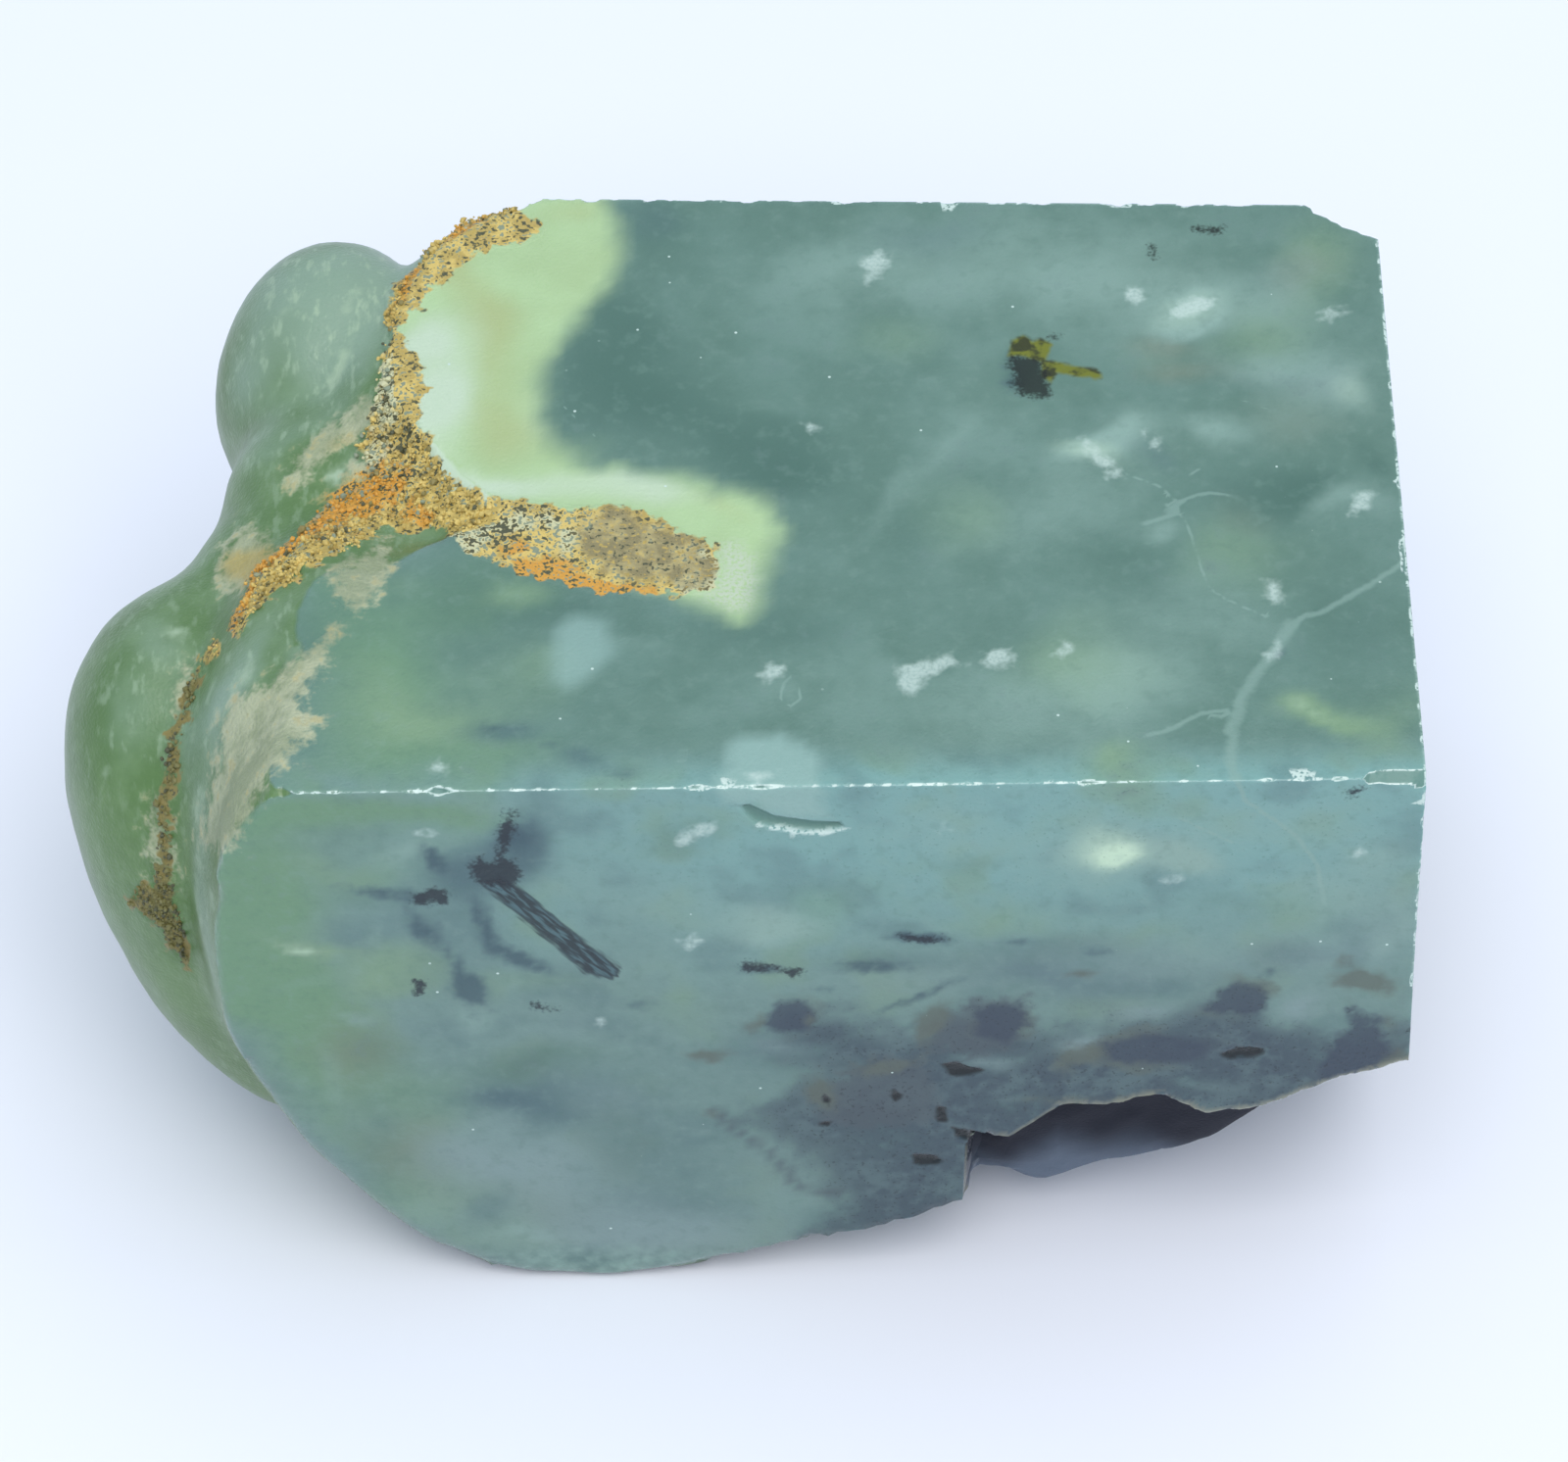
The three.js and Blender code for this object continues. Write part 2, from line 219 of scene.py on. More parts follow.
# Pale seams on the top and the front, each with its half width.
SEAMS_ON_TOP = [
    (0.08, [(18, 0.6), (19.7, -0.3), (20.4, -1.3), (21, -3.4), (21.3, -5.3), (21.7, -6.8),
     (22.6, -7.6), (24.6, -8.8)]),
    (0.16, [(31.4, -4.6), (30.6, -5.2), (28.7, -6.8), (26.8, -8.2), (25.9, -8.5), (25.2, -9.3)]),
    (0.28, [(25.3, -9), (24.6, -10.5), (23.6, -12), (22.9, -13.4), (22.3, -15.3), (22.2, -17.1),
     (22.3, -19.2)]),
    (0.12, [(22.6, -14.2), (20.8, -14.5), (19.7, -15.4), (18.6, -15.8)]),
    (0.1, [(19.9, -1.8), (20.6, -1.2), (21.5, -0.8), (22.2, -0.7), (23, -0.9)]),
    (0.08, [(21.1, 0.5), (21.5, 0.8)]),
    (0.14, [(19, -2.6), (20.3, -2.1)]),
    (0.05, [(23.7, 5.4), (25.3, 4.6)]),
    (0.05, [(-8.6, 5.6), (-6.6, 3)]),
    (0.06, [(2.1, -12.8), (2.5, -12.3), (2.9, -12.8), (3, -13.7), (2.6, -14.1), (2.1, -13.7),
     (2.1, -12.8)]),
    (0.06, [(-2.6, -17), (-2.3, -16.6), (-2, -17), (-2.3, -17.5), (-2.6, -17)]),
]
SEAMS_ON_FRONT = [
    (0.12, [(22.3, 36.2), (22.8, 34.7), (25.2, 32.3), (26.3, 30.2), (26.8, 27.6)]),
    (0.09, [(19.8, 33.6), (22.4, 31.8)]),
]

# Frosted flecks, some of them painted glints, and crystals, patches and pits, all by the face they
# are on.
FROST_AND_GLINTS = {
    "top": [
        [(5.9, 14.4), (6.4, 15.2), (6.9, 15.4), (7.3, 15.1), (7.1, 14.2), (6.7, 13.4), (6.2, 13.1),
         (6.3, 14)],
        [(18.5, 12.6), (18.9, 13), (19.3, 12.7), (19.2, 12), (18.6, 12)],
        [(20.4, 11), (21, 11.9), (21.8, 12.2), (22.9, 12.3), (22.5, 11.5), (21.9, 11)],
        [(27.6, 11), (28.2, 11.4), (28.8, 11.6), (29.2, 11.3), (28.6, 10.9), (28.2, 10.7)],
        [(16.2, 2.9), (16.7, 2.5), (17.3, 1.4), (17.9, 0.4), (17.3, 0.5), (16.6, 1.3), (16.2, 2.2)],
        [(19, 3.5), (19.7, 2.8), (19.9, 2), (19.4, 2.3)],
        [(7.7, -13.3), (7.5, -11.7), (8.2, -11.1), (9, -11.3), (9.8, -11), (10.2, -11.6),
         (9.2, -12), (8.7, -12.2), (8.2, -12.9)],
        [(11.1, -11.3), (11.6, -10.6), (12.4, -10.7), (12.3, -11.5), (11.7, -11.7)],
        [(24.4, -6.2), (24.8, -6.3), (24.7, -7.6), (24.3, -7.8)],
        [(28.2, -1.9), (28.9, -0.7), (29.7, -0.5), (29.1, -1.6), (28.6, -2.1)],
        [(1, -12.3), (1.8, -11.6), (2.2, -11.9), (1.6, -12.5)],
        [(3.2, 3.6), (3.5, 3.9), (3.7, 3.5), (3.4, 3.2)],
        [(14.5, -10.8), (14.9, -10.1), (15.3, -10.5), (14.9, -11)],
        [(24.1, -11.2), (24.4, -10.2), (24.7, -11)],
        [(-13.4, -17.9), (-13, -17.4), (-12.5, -17.8), (-12.9, -18.2)],
        [(0.5, -18.2), (1.9, -17.9), (1, -18.7)],
    ],
    "front": [
        [(-2.6, 32.4), (-1.9, 33.3), (-0.9, 33.8), (-1.2, 32.9), (-2, 32.2)],
        [(-2.5, 25.3), (-2, 25.8), (-1.5, 25.4), (-2, 25)], [(9, 33.1), (9.4, 33.4), (9.6, 33)],
        [(-6.5, 19.7), (-6.2, 20.1), (-5.9, 19.7), (-6.2, 19.5)],
        [(27.6, 30.8), (28.2, 31.4), (28.4, 30.8)], [(19.2, 29.3), (20.2, 29.6), (19.9, 29.2)],
        [(-14.2, 33.3), (-13.8, 33.5), (-13.6, 33.2)],
    ],
}
CRYSTALS = {
    "ink": {
        "top": [
            [(12.9, 8.1), (13.3, 8.4), (14.3, 8), (14.5, 7.1), (14.6, 6.3), (14.7, 5.8),
             (14.1, 5.5), (13.5, 5.6), (13.1, 6.4)],
            [(14.9, 9.8), (15.2, 9.8), (15.2, 9.5), (14.9, 9.5)],
            [(19.9, 15.9), (20.1, 15.8), (20, 15), (19.8, 15.2)],
            [(22, 17.1), (23.4, 17.1), (23.3, 16.8), (22.2, 16.8)],
        ],
        "front": [
            [(-11.9, 30.9), (-11.4, 31.4), (-10.8, 31), (-10.3, 31.5), (-9.8, 30.9), (-9.8, 29.9),
             (-10.2, 29.4), (-11, 29.5), (-11.7, 29.9)],
            [(-10.7, 31.2), (-10.3, 31.1), (-10, 33.1), (-9.8, 34.5), (-10.2, 34.4), (-10.5, 32.6)],
            [(-14.6, 28.9), (-13.7, 29.4), (-12.7, 29), (-13.3, 28.4), (-14.4, 28.3)],
            [(0.2, 23.6), (0.9, 24), (1.6, 23.7), (1.2, 23.2), (0.5, 23.3)],
            [(2.2, 23.2), (2.9, 23.4), (3.2, 23.1), (2.6, 22.8)],
            [(-9.4, 21.1), (-8.3, 20.8), (-8.2, 20.6), (-9.2, 20.8)],
            [(-14.7, 22.9), (-14.4, 22.9), (-14.4, 22), (-14.7, 22)],
            [(7.6, 25.7), (8.6, 25.6), (9.8, 25.3), (8.8, 25), (7.9, 25.3)],
            [(27.2, 35.3), (27.9, 35.3), (27.8, 35), (27.3, 35)],
        ],
    },
    "olive": {
        "top": [
            [(13.1, 9.4), (13.6, 9.7), (14, 9.3), (14.4, 9.5), (15, 9.1), (14.8, 8.5), (14.5, 7.9),
             (13.4, 8.3), (12.8, 8.3)],
            [(14.4, 8), (15.1, 7.9), (16.1, 7.6), (17, 7.4), (17.3, 6.9), (16.9, 6.7), (16.1, 6.9),
             (15.1, 7.2), (14.8, 6.5), (14.4, 7)],
        ],
    },
    "needle": {
        "front": [
            [(-11.6, 29.8), (-10.4, 30.2), (-9.2, 28.8), (-6.8, 25.5), (-5.2, 23.6), (-5.6, 22.8),
             (-6.9, 23.3), (-8.3, 25.3), (-10.1, 27.8)],
        ],
    },
    "patch": {
        "front": [
            [(21.7, 20), (22.1, 21.4), (23.2, 22.1), (24.5, 21), (24.7, 20.1), (23.2, 19.4)],
            [(1, 19.2), (1.6, 20.4), (2.2, 21), (3.2, 21.1), (3.8, 19.5), (3.6, 19), (2.2, 18.7)],
            [(11, 20.3), (13.3, 21), (13.5, 19.1), (12.7, 17.8), (11.4, 18.5)],
            [(17, 17.6), (19.6, 18.3), (22.2, 17.7), (21.9, 16.2), (19.6, 16.2), (17.4, 16.3)],
            [(27.3, 16.2), (28.4, 20), (29.6, 19.4), (31, 16.3), (31.7, 11.8), (30.5, 8),
             (27.6, 8.5)],
        ],
    },
    "haze": {
        "front": [
            [(9, 17.6), (9.3, 19.2), (10.2, 20), (11.3, 20.9), (13.3, 21.2), (13.6, 19.1),
             (12.7, 17.5), (10.7, 17)],
            [(3.8, 13.1), (4.1, 14.5), (5.4, 16.3), (7, 16.9), (8.2, 16.6), (9.1, 15.1),
             (9.4, 12.3), (6.9, 11.6), (4.1, 12)],
        ],
    },
    "pit": {
        "front": [
            [(9.6, 16.3), (10.2, 16.4), (11.6, 15.8), (11, 15.4), (10, 15.4)],
            [(9.4, 13.2), (9.9, 13), (9.9, 12), (9.5, 12)],
            [(8.3, 9.5), (9.2, 9.5), (9.9, 8.9), (9, 8.6), (8.4, 8.8)],
            [(10.2, 11.5), (11.5, 11.1), (11.2, 10.4), (10.5, 10.6)],
            [(22.6, 16.7), (23.3, 17.2), (24.7, 17.1), (24.3, 16.5), (23.1, 16.4)],
            [(4.1, 14.2), (4.5, 13.8), (4.4, 13.2), (4, 13.5)],
            [(7.4, 14.4), (7.8, 14), (7.5, 13.6), (7.2, 14)],
            [(3.8, 12.1), (4.5, 12.1), (4.4, 11.8), (3.9, 11.8)],
        ],
    },
}

# Clouds and small spots, as ovals on each chart.
ON_TOP = {
    "leaf": [
        (-16, -12, 4, 5, 0.8), (-10.5, -7, 4, 3, 0.4), (-13, -17, 6, 1.6, 0.6),
        (-18, -5, 2, 3, 0.6), (15.6, -12.6, 3, 2.4, 0.35),
    ],
    "ash": [
        (22.6, 8.4, 4, 2.6, 0.35, -20), (27.4, 14, 2.6, 2, 0.4), (28.8, 5.4, 1.6, 2.4, 0.35),
    ],
    "khaki": [
        (-12.3, 10.6, 2, 4.4, 0.8, 12), (-11.2, 4, 3, 2.2, 0.6, -30), (-13.2, 15.2, 1.2, 1.6, 0.6),
        (-8.4, 18.6, 2.2, 1.2, 0.45), (-0.4, -1.6, 1.6, 0.8, 0.5, -20),
    ],
    "pale": [
        (-15.2, 9.4, 1.1, 1.8, 1), (-14.5, 4.4, 1.2, 2.4, 1), (-10.5, 0, 3.5, 0.9, 0.9, -12),
        (-9, 4.6, 1.4, 2.4, 0.25, 20), (-4.4, -0.7, 3.4, 0.8, 0.8, -14), (-13.6, 6.5, 1.6, 5, 0.5),
    ],
    "deep": [
        (-4.8, 4.6, 4.4, 3.4, 0.8), (-3.2, 16.8, 2.6, 3.4, 0.6), (2.2, 1.2, 4.5, 2.4, 0.9, -20),
        (-5.5, 9, 3, 3.5, 0.7, 50), (-17.5, -11.5, 2.5, 4, 0.4), (1.5, -9, 3, 2.5, 0.55),
        (-7.5, -8.5, 5, 2, 0.6, -15), (-12, -8, 3, 2.4, 0.5), (8.3, -4, 3, 3, 0.4, 30),
        (17.5, -4.6, 3.6, 2.2, 0.5, -50), (24.2, -0.8, 3, 2, 0.5), (28, -9, 2.5, 3, 0.5),
        (27.4, 4.4, 2.4, 1.6, 0.4), (29.6, 1.2, 1.4, 0.5, 0.7, -50), (-10.5, -3, 2, 1, 0.4),
        (27.3, -0.6, 2.2, 1.6, 0.8), (11, -15, 2.4, 1, 0.5), (10.4, 0.9, 2.4, 1.6, 0.4, -30),
        (4.6, 16.2, 2.6, 1, 0.4), (19.4, -8, 1.6, 1, 0.4, -40), (24.6, 6.4, 1.8, 0.8, 0.35),
        (-7, 12.6, 2, 2.6, 0.5, 30),
    ],
    "veil": [
        (4.4, 13, 5.5, 4, 0.45, 20), (12.5, 14.5, 7, 3.5, 0.45), (20.5, 13, 6, 4, 0.5),
        (21.5, 11.3, 1.8, 1, 0.6, 20), (12, 4.5, 5, 4, 0.35, 30), (15.8, -1.6, 4, 2.4, 0.45, 40),
        (28.8, -1.4, 2.2, 1, 0.6, 30), (28.4, 6, 2.6, 3.4, 0.6), (-14.6, -4.6, 2.8, 1.8, 0.3, 30),
        (13, -14.5, 7, 4, 0.5), (10.5, -3.6, 2.6, 4.2, 0.3, -30), (17.5, -11.5, 3.5, 3.5, 0.45),
        (22, -8.5, 3.5, 3, 0.35), (3, -13, 4, 3, 0.3), (-4, -14.5, 2.4, 1.2, 0.3),
        (18.8, 2.4, 2.4, 1.6, 0.45), (26, 12, 3, 2, 0.35), (23.5, 3, 3, 1.5, 0.3, 20),
        (7.5, -1.4, 6.4, 0.45, 0.35, 52), (22.8, 2.9, 1.4, 0.9, 0.6, -20),
        (19.4, -2.8, 1.2, 1, 0.6), (17.3, 2.2, 0.9, 1.8, 0.8, -50),
        (21.8, 11.2, 0.8, 1.4, 0.7, -50), (1, 4.6, 1.4, 0.8, 0.35), (25.6, 7.6, 1, 1.6, 0.4, 60),
        (-3.6, -10.4, 2, 0.9, 0.35, -10),
    ],
    "amber": [
        (-8.4, -6.2, 1.8, 0.9, 1, -12), (-5.6, -6.9, 2.4, 0.4, 0.8), (-12.6, -1, 0.9, 0.8, 0.5),
        (-9.6, -4.4, 1.2, 0.8, 0.4),
    ],
    "soot": [
        (-12.8, -1.6, 0.8, 1.8, 0.9, -30), (-10.9, -3.4, 1.6, 1.2, 0.9, -20),
        (-8.6, -1.9, 1.6, 0.4, 0.7, -10), (-4.5, -4, 2.6, 1.4, 0.4, -20),
    ],
    "pallid": [
        (-12, -3.4, 1, 1.6, 0.8, -30), (-1.6, -6, 1.2, 1.6, 0.8, 10), (-9.5, -2.6, 1.4, 0.8, 0.5),
        (-7.6, -3.8, 0.8, 1.4, 0.5),
    ],
    "moss": [
        (-13.6, -15.2, 3, 1.8, 1), (-17, -13.5, 3, 3, 0.5), (15.6, -11.6, 3.4, 2.8, 0.9),
        (26.4, -14.6, 2.2, 1, 1.1, -10), (16.9, -17.6, 2, 1.2, 0.8), (10.6, -2.4, 2.4, 2.8, 0.5),
        (7.8, 9.2, 3, 2.2, 0.4), (25.2, 9.8, 3.4, 2.4, 0.6, -20), (28.2, 14.5, 2, 3, 0.7),
        (-8.6, 1.6, 2, 1.6, 0.6), (24, -5, 4, 3, 0.5), (29, -15, 2, 3, 0.5),
        (20.6, 8.2, 3, 1.6, 0.3, -10), (-15.5, -6.5, 2, 1, 0.4), (-9.6, -7.6, 1.6, 1, 0.8),
        (-9, -12, 3, 2, 0.5),
    ],
    "umber": [
        (20.6, 9.4, 2.2, 1.2, 0.7, -10), (21.6, 7.2, 2.4, 0.9, 0.6, 10), (27.6, 14.2, 2.2, 2, 0.5),
        (26.5, 3.5, 3.5, 2.4, 0.4, -30), (24.6, -2.4, 2, 1.6, 0.4),
    ],
    "dusk": [
        (-10.5, -15.4, 1.4, 1, 0.7), (-7, -17, 1.6, 0.9, 0.7), (-3.6, 17.4, 2, 2, 0.4),
        (9, 15.8, 4, 2, 0.4), (19.6, 1.2, 1.6, 1, 0.5, -30), (-4.5, -17.6, 1, 0.6, 0.5),
    ],
    "blue": [
        (24.7, -10.8, 0.7, 0.3, 0.8, -30), (13.3, 7, 0.7, 1.2, 0.7), (13.2, 8.6, 0.5, 0.5, 0.5),
        (-10.9, -15.2, 0.6, 0.4, 0.6), (-8.3, -16.4, 0.5, 0.3, 0.5),
    ],
    # painted glow where light shows through the stone
    "painted_glow": [
        (26.4, -14.6, 1.6, 0.6, 0.35, -10), (21.6, 11.5, 2.2, 1, 0.4, 20), (29.2, 5, 1.2, 2, 0.3),
        (16.9, 1.6, 2, 1, 0.4, -50),
    ],
}
ON_FRONT = {
    "ash": [
        (-9, 8, 6, 4, 0.5, -20), (-4, 3.5, 7, 2.5, 0.7), (-12.5, 10, 4, 3, 0.4), (3, 9, 4, 3, 0.3),
        (-8, 19, 4, 2, 0.35), (9.5, 22, 8, 1.6, 0.3), (20, 23.5, 8, 1.8, 0.35), (29, 25, 3, 4, 0.4),
        (-19, 26.5, 3, 1.4, 0.3), (-6, 13.5, 2.4, 1, 0.3, -30), (16.6, 17.4, 1.5, 0.9, 1),
        (8.2, 18.2, 3, 0.6, 0.4), (12, 16.4, 1.8, 0.6, 0.8, 20), (19.4, 19.6, 1.8, 1, 0.7),
        (26.4, 19.5, 1.2, 1.4, 0.7), (7.2, 15, 0.8, 0.6, 0.6), (13.2, 13.4, 1.2, 0.5, 0.5, 20),
        (2.6, 17.4, 1.6, 0.7, 0.6), (22.4, 14.2, 2.4, 0.5, 0.5, -10),
    ],
    "leaf": [
        (-21.5, 29, 4, 6, 0.9), (-20.5, 22, 3.5, 2.6, 0.9), (-18.5, 34.5, 5, 1.2, 0.8),
        (-16, 15.5, 4.5, 3, 0.6, -30), (4.6, 28, 3, 2, 0.5), (-12.5, 34.6, 3, 1, 0.5),
        (-14, 31, 4, 3, 0.35), (-20, 17, 2.4, 5, 0.6), (-22.6, 24, 2, 6, 0.6),
        (-15.5, 9, 3, 4, 0.5, -30),
    ],
    "moss": [
        (-19.6, 25.7, 2.4, 0.5, 1, -14), (-18.4, 30.6, 2.2, 1.4, 0.5), (-15.6, 23.8, 2.2, 2, 0.8),
        (-9, 22.5, 3, 1.5, 0.5), (27, 27, 3, 2, 0.4), (-14, 7.5, 3.5, 3, 0.5),
        (12.5, 26.5, 5, 1.6, 0.35), (-10, 3.6, 3, 1.4, 0.5), (-2, 21, 3, 2, 0.35),
    ],
    "veil": [
        (9.5, 33, 5, 2, 0.4), (17.3, 31, 3.5, 2.4, 0.8), (24, 33, 5, 2.4, 0.35),
        (-6, 30, 5, 2.6, 0.3), (28.8, 30.8, 1.6, 1.4, 0.5), (23, 24.5, 5, 1.6, 0.35),
        (2, 6.6, 1.6, 2.2, 0.35), (29, 27.5, 2, 1.8, 0.4), (-20, 22.8, 3, 0.7, 0.3, 20),
        (-8, 12.5, 3.6, 0.8, 0.3, -30), (-18.6, 15.4, 0.9, 3.4, 0.4, 20), (-15, 6, 2, 2, 0.35, -30),
        (0, 27.5, 6, 2, 0.3), (-4, 24, 5, 1.5, 0.25), (20.8, 30.2, 2.2, 1.1, 0.95, -20),
        (2.2, 26.6, 2.4, 0.8, 0.8), (-14.5, 31.8, 1.6, 1, 0.6), (26.7, 28.9, 1.8, 1.2, 0.4),
        (30.1, 24.7, 1, 2, 0.6), (-10, 3.7, 2.4, 0.8, 0.7), (-12.3, 20.4, 1, 1.6, 0.6),
        (-2.4, 11.7, 1.8, 0.7, 0.5, -30), (-14, 1.6, 3, 0.6, 0.5, -30),
        (-17.6, 21, 1.4, 0.5, 0.5, 10),
    ],
    "deep": [
        (-20.5, 22.5, 2.6, 2, 0.45), (-8.5, 17, 5, 1.6, 0.4, -15), (-11.5, 16, 3, 2, 0.4),
        (-21.5, 31, 2, 1.6, 0.4), (-17, 11.5, 2, 3, 0.45, 30), (5.6, 24, 3, 1.2, 0.3),
        (-17.8, 18.2, 2.2, 2.2, 0.7, -30), (-14.2, 8.4, 3, 2.2, 0.5, -30),
        (-16.6, 28, 1.8, 0.8, 0.4, -14), (11, 31.2, 2.6, 0.8, 0.35), (-2.6, 32.8, 2.4, 1, 0.35),
        (23, 27, 3, 0.9, 0.35),
    ],
    "dusk": [
        (-4.5, 10.5, 6, 4.5, 0.5, -20), (-10.5, 14.5, 4.5, 1.8, 0.55, -10), (3, 17, 5, 2.4, 0.6),
        (-12.5, 25.5, 3, 4, 0.4, -30), (-4, 5.5, 6, 2, 0.4), (-9.9, 32.6, 1.6, 1.8, 0.6),
        (14, 24.4, 5, 1.2, 0.5), (18, 22, 5, 1.4, 0.6), (12.8, 22.6, 3, 0.9, 0.6),
        (-12, 30, 2.2, 2, 0.9), (26, 24, 3, 1.4, 0.6), (7, 23.5, 3, 0.8, 0.4),
        (-10.7, 13.6, 2.6, 1.2, 0.5, -20), (-9.8, 31.6, 1.2, 2, 0.7, 10),
    ],
    "blue": [
        (8.6, 25.4, 1.4, 0.4, 1.3, -4), (6.2, 23.4, 1.7, 0.5, 1), (8.5, 21.3, 2.3, 0.3, 0.9, 34),
        (1.3, 23.5, 1.4, 0.4, 0.9, -8), (-9.9, 32.9, 0.9, 1.5, 1), (-15.6, 29, 2, 0.6, 1, -12),
        (-12.2, 22, 0.9, 1.4, 1.3, 20), (-9.8, 24.6, 1.7, 0.6, 1.2, -38),
        (-11.4, 27, 0.5, 1.7, 1.1, 12), (-14.2, 26.4, 0.6, 1.4, 1, 20),
        (-13.5, 31.3, 0.45, 1.2, 1.2, 28), (-12.9, 24.2, 0.4, 1.2, 0.8, 20),
        (13.4, 25.1, 1.6, 0.15, 0.7, 3), (16.5, 24.2, 0.9, 0.4, 0.6), (24.6, 22.6, 0.8, 0.4, 0.6),
        (-4.4, 21, 1.2, 0.6, 0.5), (-5.6, 18.3, 0.8, 0.5, 0.4), (4.2, 21.6, 0.9, 0.3, 0.5, -30),
    ],
    # painted glow where light shows through the stone
    "painted_glow": [
        (17.3, 30.6, 1, 0.7, 1.1), (16.6, 31.3, 2.4, 1.4, 0.45), (-19.9, 25.7, 1.8, 0.25, 0.5, -14),
    ],
    "brown": [
        (16.4, 16.8, 0.9, 0.7, 1.3), (4, 14.2, 0.6, 1.2, 0.9, 20), (9.3, 19.6, 0.7, 1.2, 1.2, -20),
        (28.6, 21.6, 1.1, 0.4, 0.8), (30.6, 14.8, 0.7, 1.1, 1.2), (7, 16.2, 1.4, 0.5, 0.9, 10),
        (1.2, 19.2, 0.4, 0.9, 0.9, -20), (3.8, 19.6, 0.3, 0.5, 0.9), (9, 18.6, 0.4, 1.2, 0.9, -10),
        (-1.2, 17.1, 1, 0.6, 1.1), (29.3, 21.6, 1.3, 0.7, 1.3, -20), (28.2, 23.4, 0.5, 0.6, 0.9),
        (15.9, 22.8, 0.7, 0.3, 0.9), (31, 15.6, 0.9, 1.4, 0.9), (15.4, 16.3, 0.7, 1.2, 0.6),
        (4, 14, 0.5, 1.2, 0.6), (-1.2, 13, 0.8, 0.5, 0.6), (6.5, 16.6, 2, 0.5, 0.5, 5),
        (16, 13.5, 3, 0.4, 0.6), (20, 13, 1.5, 0.4, 0.6),
    ],
    "umber": [
        (-18, 18, 3, 3.6, 0.5), (-15.4, 11, 3, 3, 0.55, -30), (-9, 6, 5, 2.6, 0.4, -20),
        (-2, 2.6, 5, 1.2, 0.3), (4, 11, 2, 3, 0.4),
    ],
}
ON_LOBES = {
    # painted sheen on the tops of the lobes
    "painted_sheen": [
        (-17.5, 33.5, 3, 2.2, 0.8), (-23.4, 28.8, 1.4, 2.2, 0.7), (-19.3, 31, 2, 1.6, 0.6),
        (-23.4, 12.2, 0.9, 1.8, 0.6), (-19.6, 16, 0.6, 1.2, 0.6, -30),
        (-21.4, 26.4, 2, 0.8, 0.4, 30), (-19.5, 34.6, 5, 1.8, 0.8, 12),
        (-22.5, 31.5, 2.5, 2.5, 0.5, 40), (-19, 29.5, 1.6, 2.6, 0.5, -20),
        (-24.6, 9, 0.9, 4.5, 0.7, 5), (-22.8, 14.8, 0.8, 3.4, 0.7, -40), (-28, 13, 2, 3, 0.4, -30),
        (-24, 2, 0.6, 6, 0.6), (-26.6, 16.6, 1.2, 1.2, 0.4),
    ],
    "frost": [
        (-18.7, 30.4, 0.25, 0.9, 0.9, -25), (-19.2, 29.2, 0.25, 0.8, 0.7, -25),
        (-18.4, 33.2, 0.2, 0.8, 0.6, -30), (-18.8, 24.5, 0.35, 0.35, 1.2),
        (-17.6, 24.8, 0.7, 0.7, 0.9), (-18, 23.5, 0.7, 0.5, 0.9, 20),
        (-18.9, 22.9, 0.6, 0.4, 0.8, 20), (-25.6, 17.2, 0.6, 0.4, 0.8, -30),
        (-22.2, 15.2, 0.3, 0.8, 0.8, -30), (-23.4, 13.4, 0.3, 0.9, 0.6, -30),
        (-26.4, 12, 0.3, 0.5, 0.4), (-27.9, 12.6, 0.2, 0.5, 0.5), (-24.6, 8.6, 0.4, 2, 0.5, 8),
        (-24.4, 4, 0.3, 2.4, 0.5), (-29.4, 10.4, 0.3, 0.3, 0.5), (-21.6, 32.6, 0.6, 0.6, 0.4),
        (-22.5, 17.8, 0.3, 0.3, 0.5),
    ],
    "amber": [
        (-17.3, 23.6, 2.2, 1.2, 1, 25), (-20.4, 21.8, 2.4, 0.7, 1, 38),
        (-12.4, 36.6, 1.6, 0.7, 0.8), (-15.6, 34, 0.6, 1.4, 0.5, -30), (-14.4, 22.6, 0.8, 0.5, 0.7),
        (-22.8, 18.2, 0.4, 1.2, 0.8, -20), (-23, 20.4, 1.1, 0.8, 0.7),
        (-18.4, 26, 1.4, 0.7, 0.4, 30), (-19.4, 14.6, 0.6, 1.8, 0.5, -20),
    ],
    "soot": [
        (-15.4, 29.4, 0.7, 1.8, 1), (-14.9, 26.6, 1, 1.6, 1, -20), (-16.2, 31.4, 0.6, 0.8, 0.8),
        (-15.6, 24.4, 1.2, 0.8, 0.5), (-16.6, 27.4, 0.5, 1.2, 0.4), (-22.6, 17, 0.5, 0.8, 0.5),
    ],
    "pallid": [
        (-16.3, 28.6, 0.8, 1.8, 0.8), (-13.6, 35.4, 1.2, 0.6, 0.6, 40),
        (-19, 23.4, 1.6, 0.4, 0.7, 38), (-16.8, 25.4, 0.8, 0.8, 0.6), (-23.4, 20.4, 0.9, 0.9, 0.6),
    ],
}

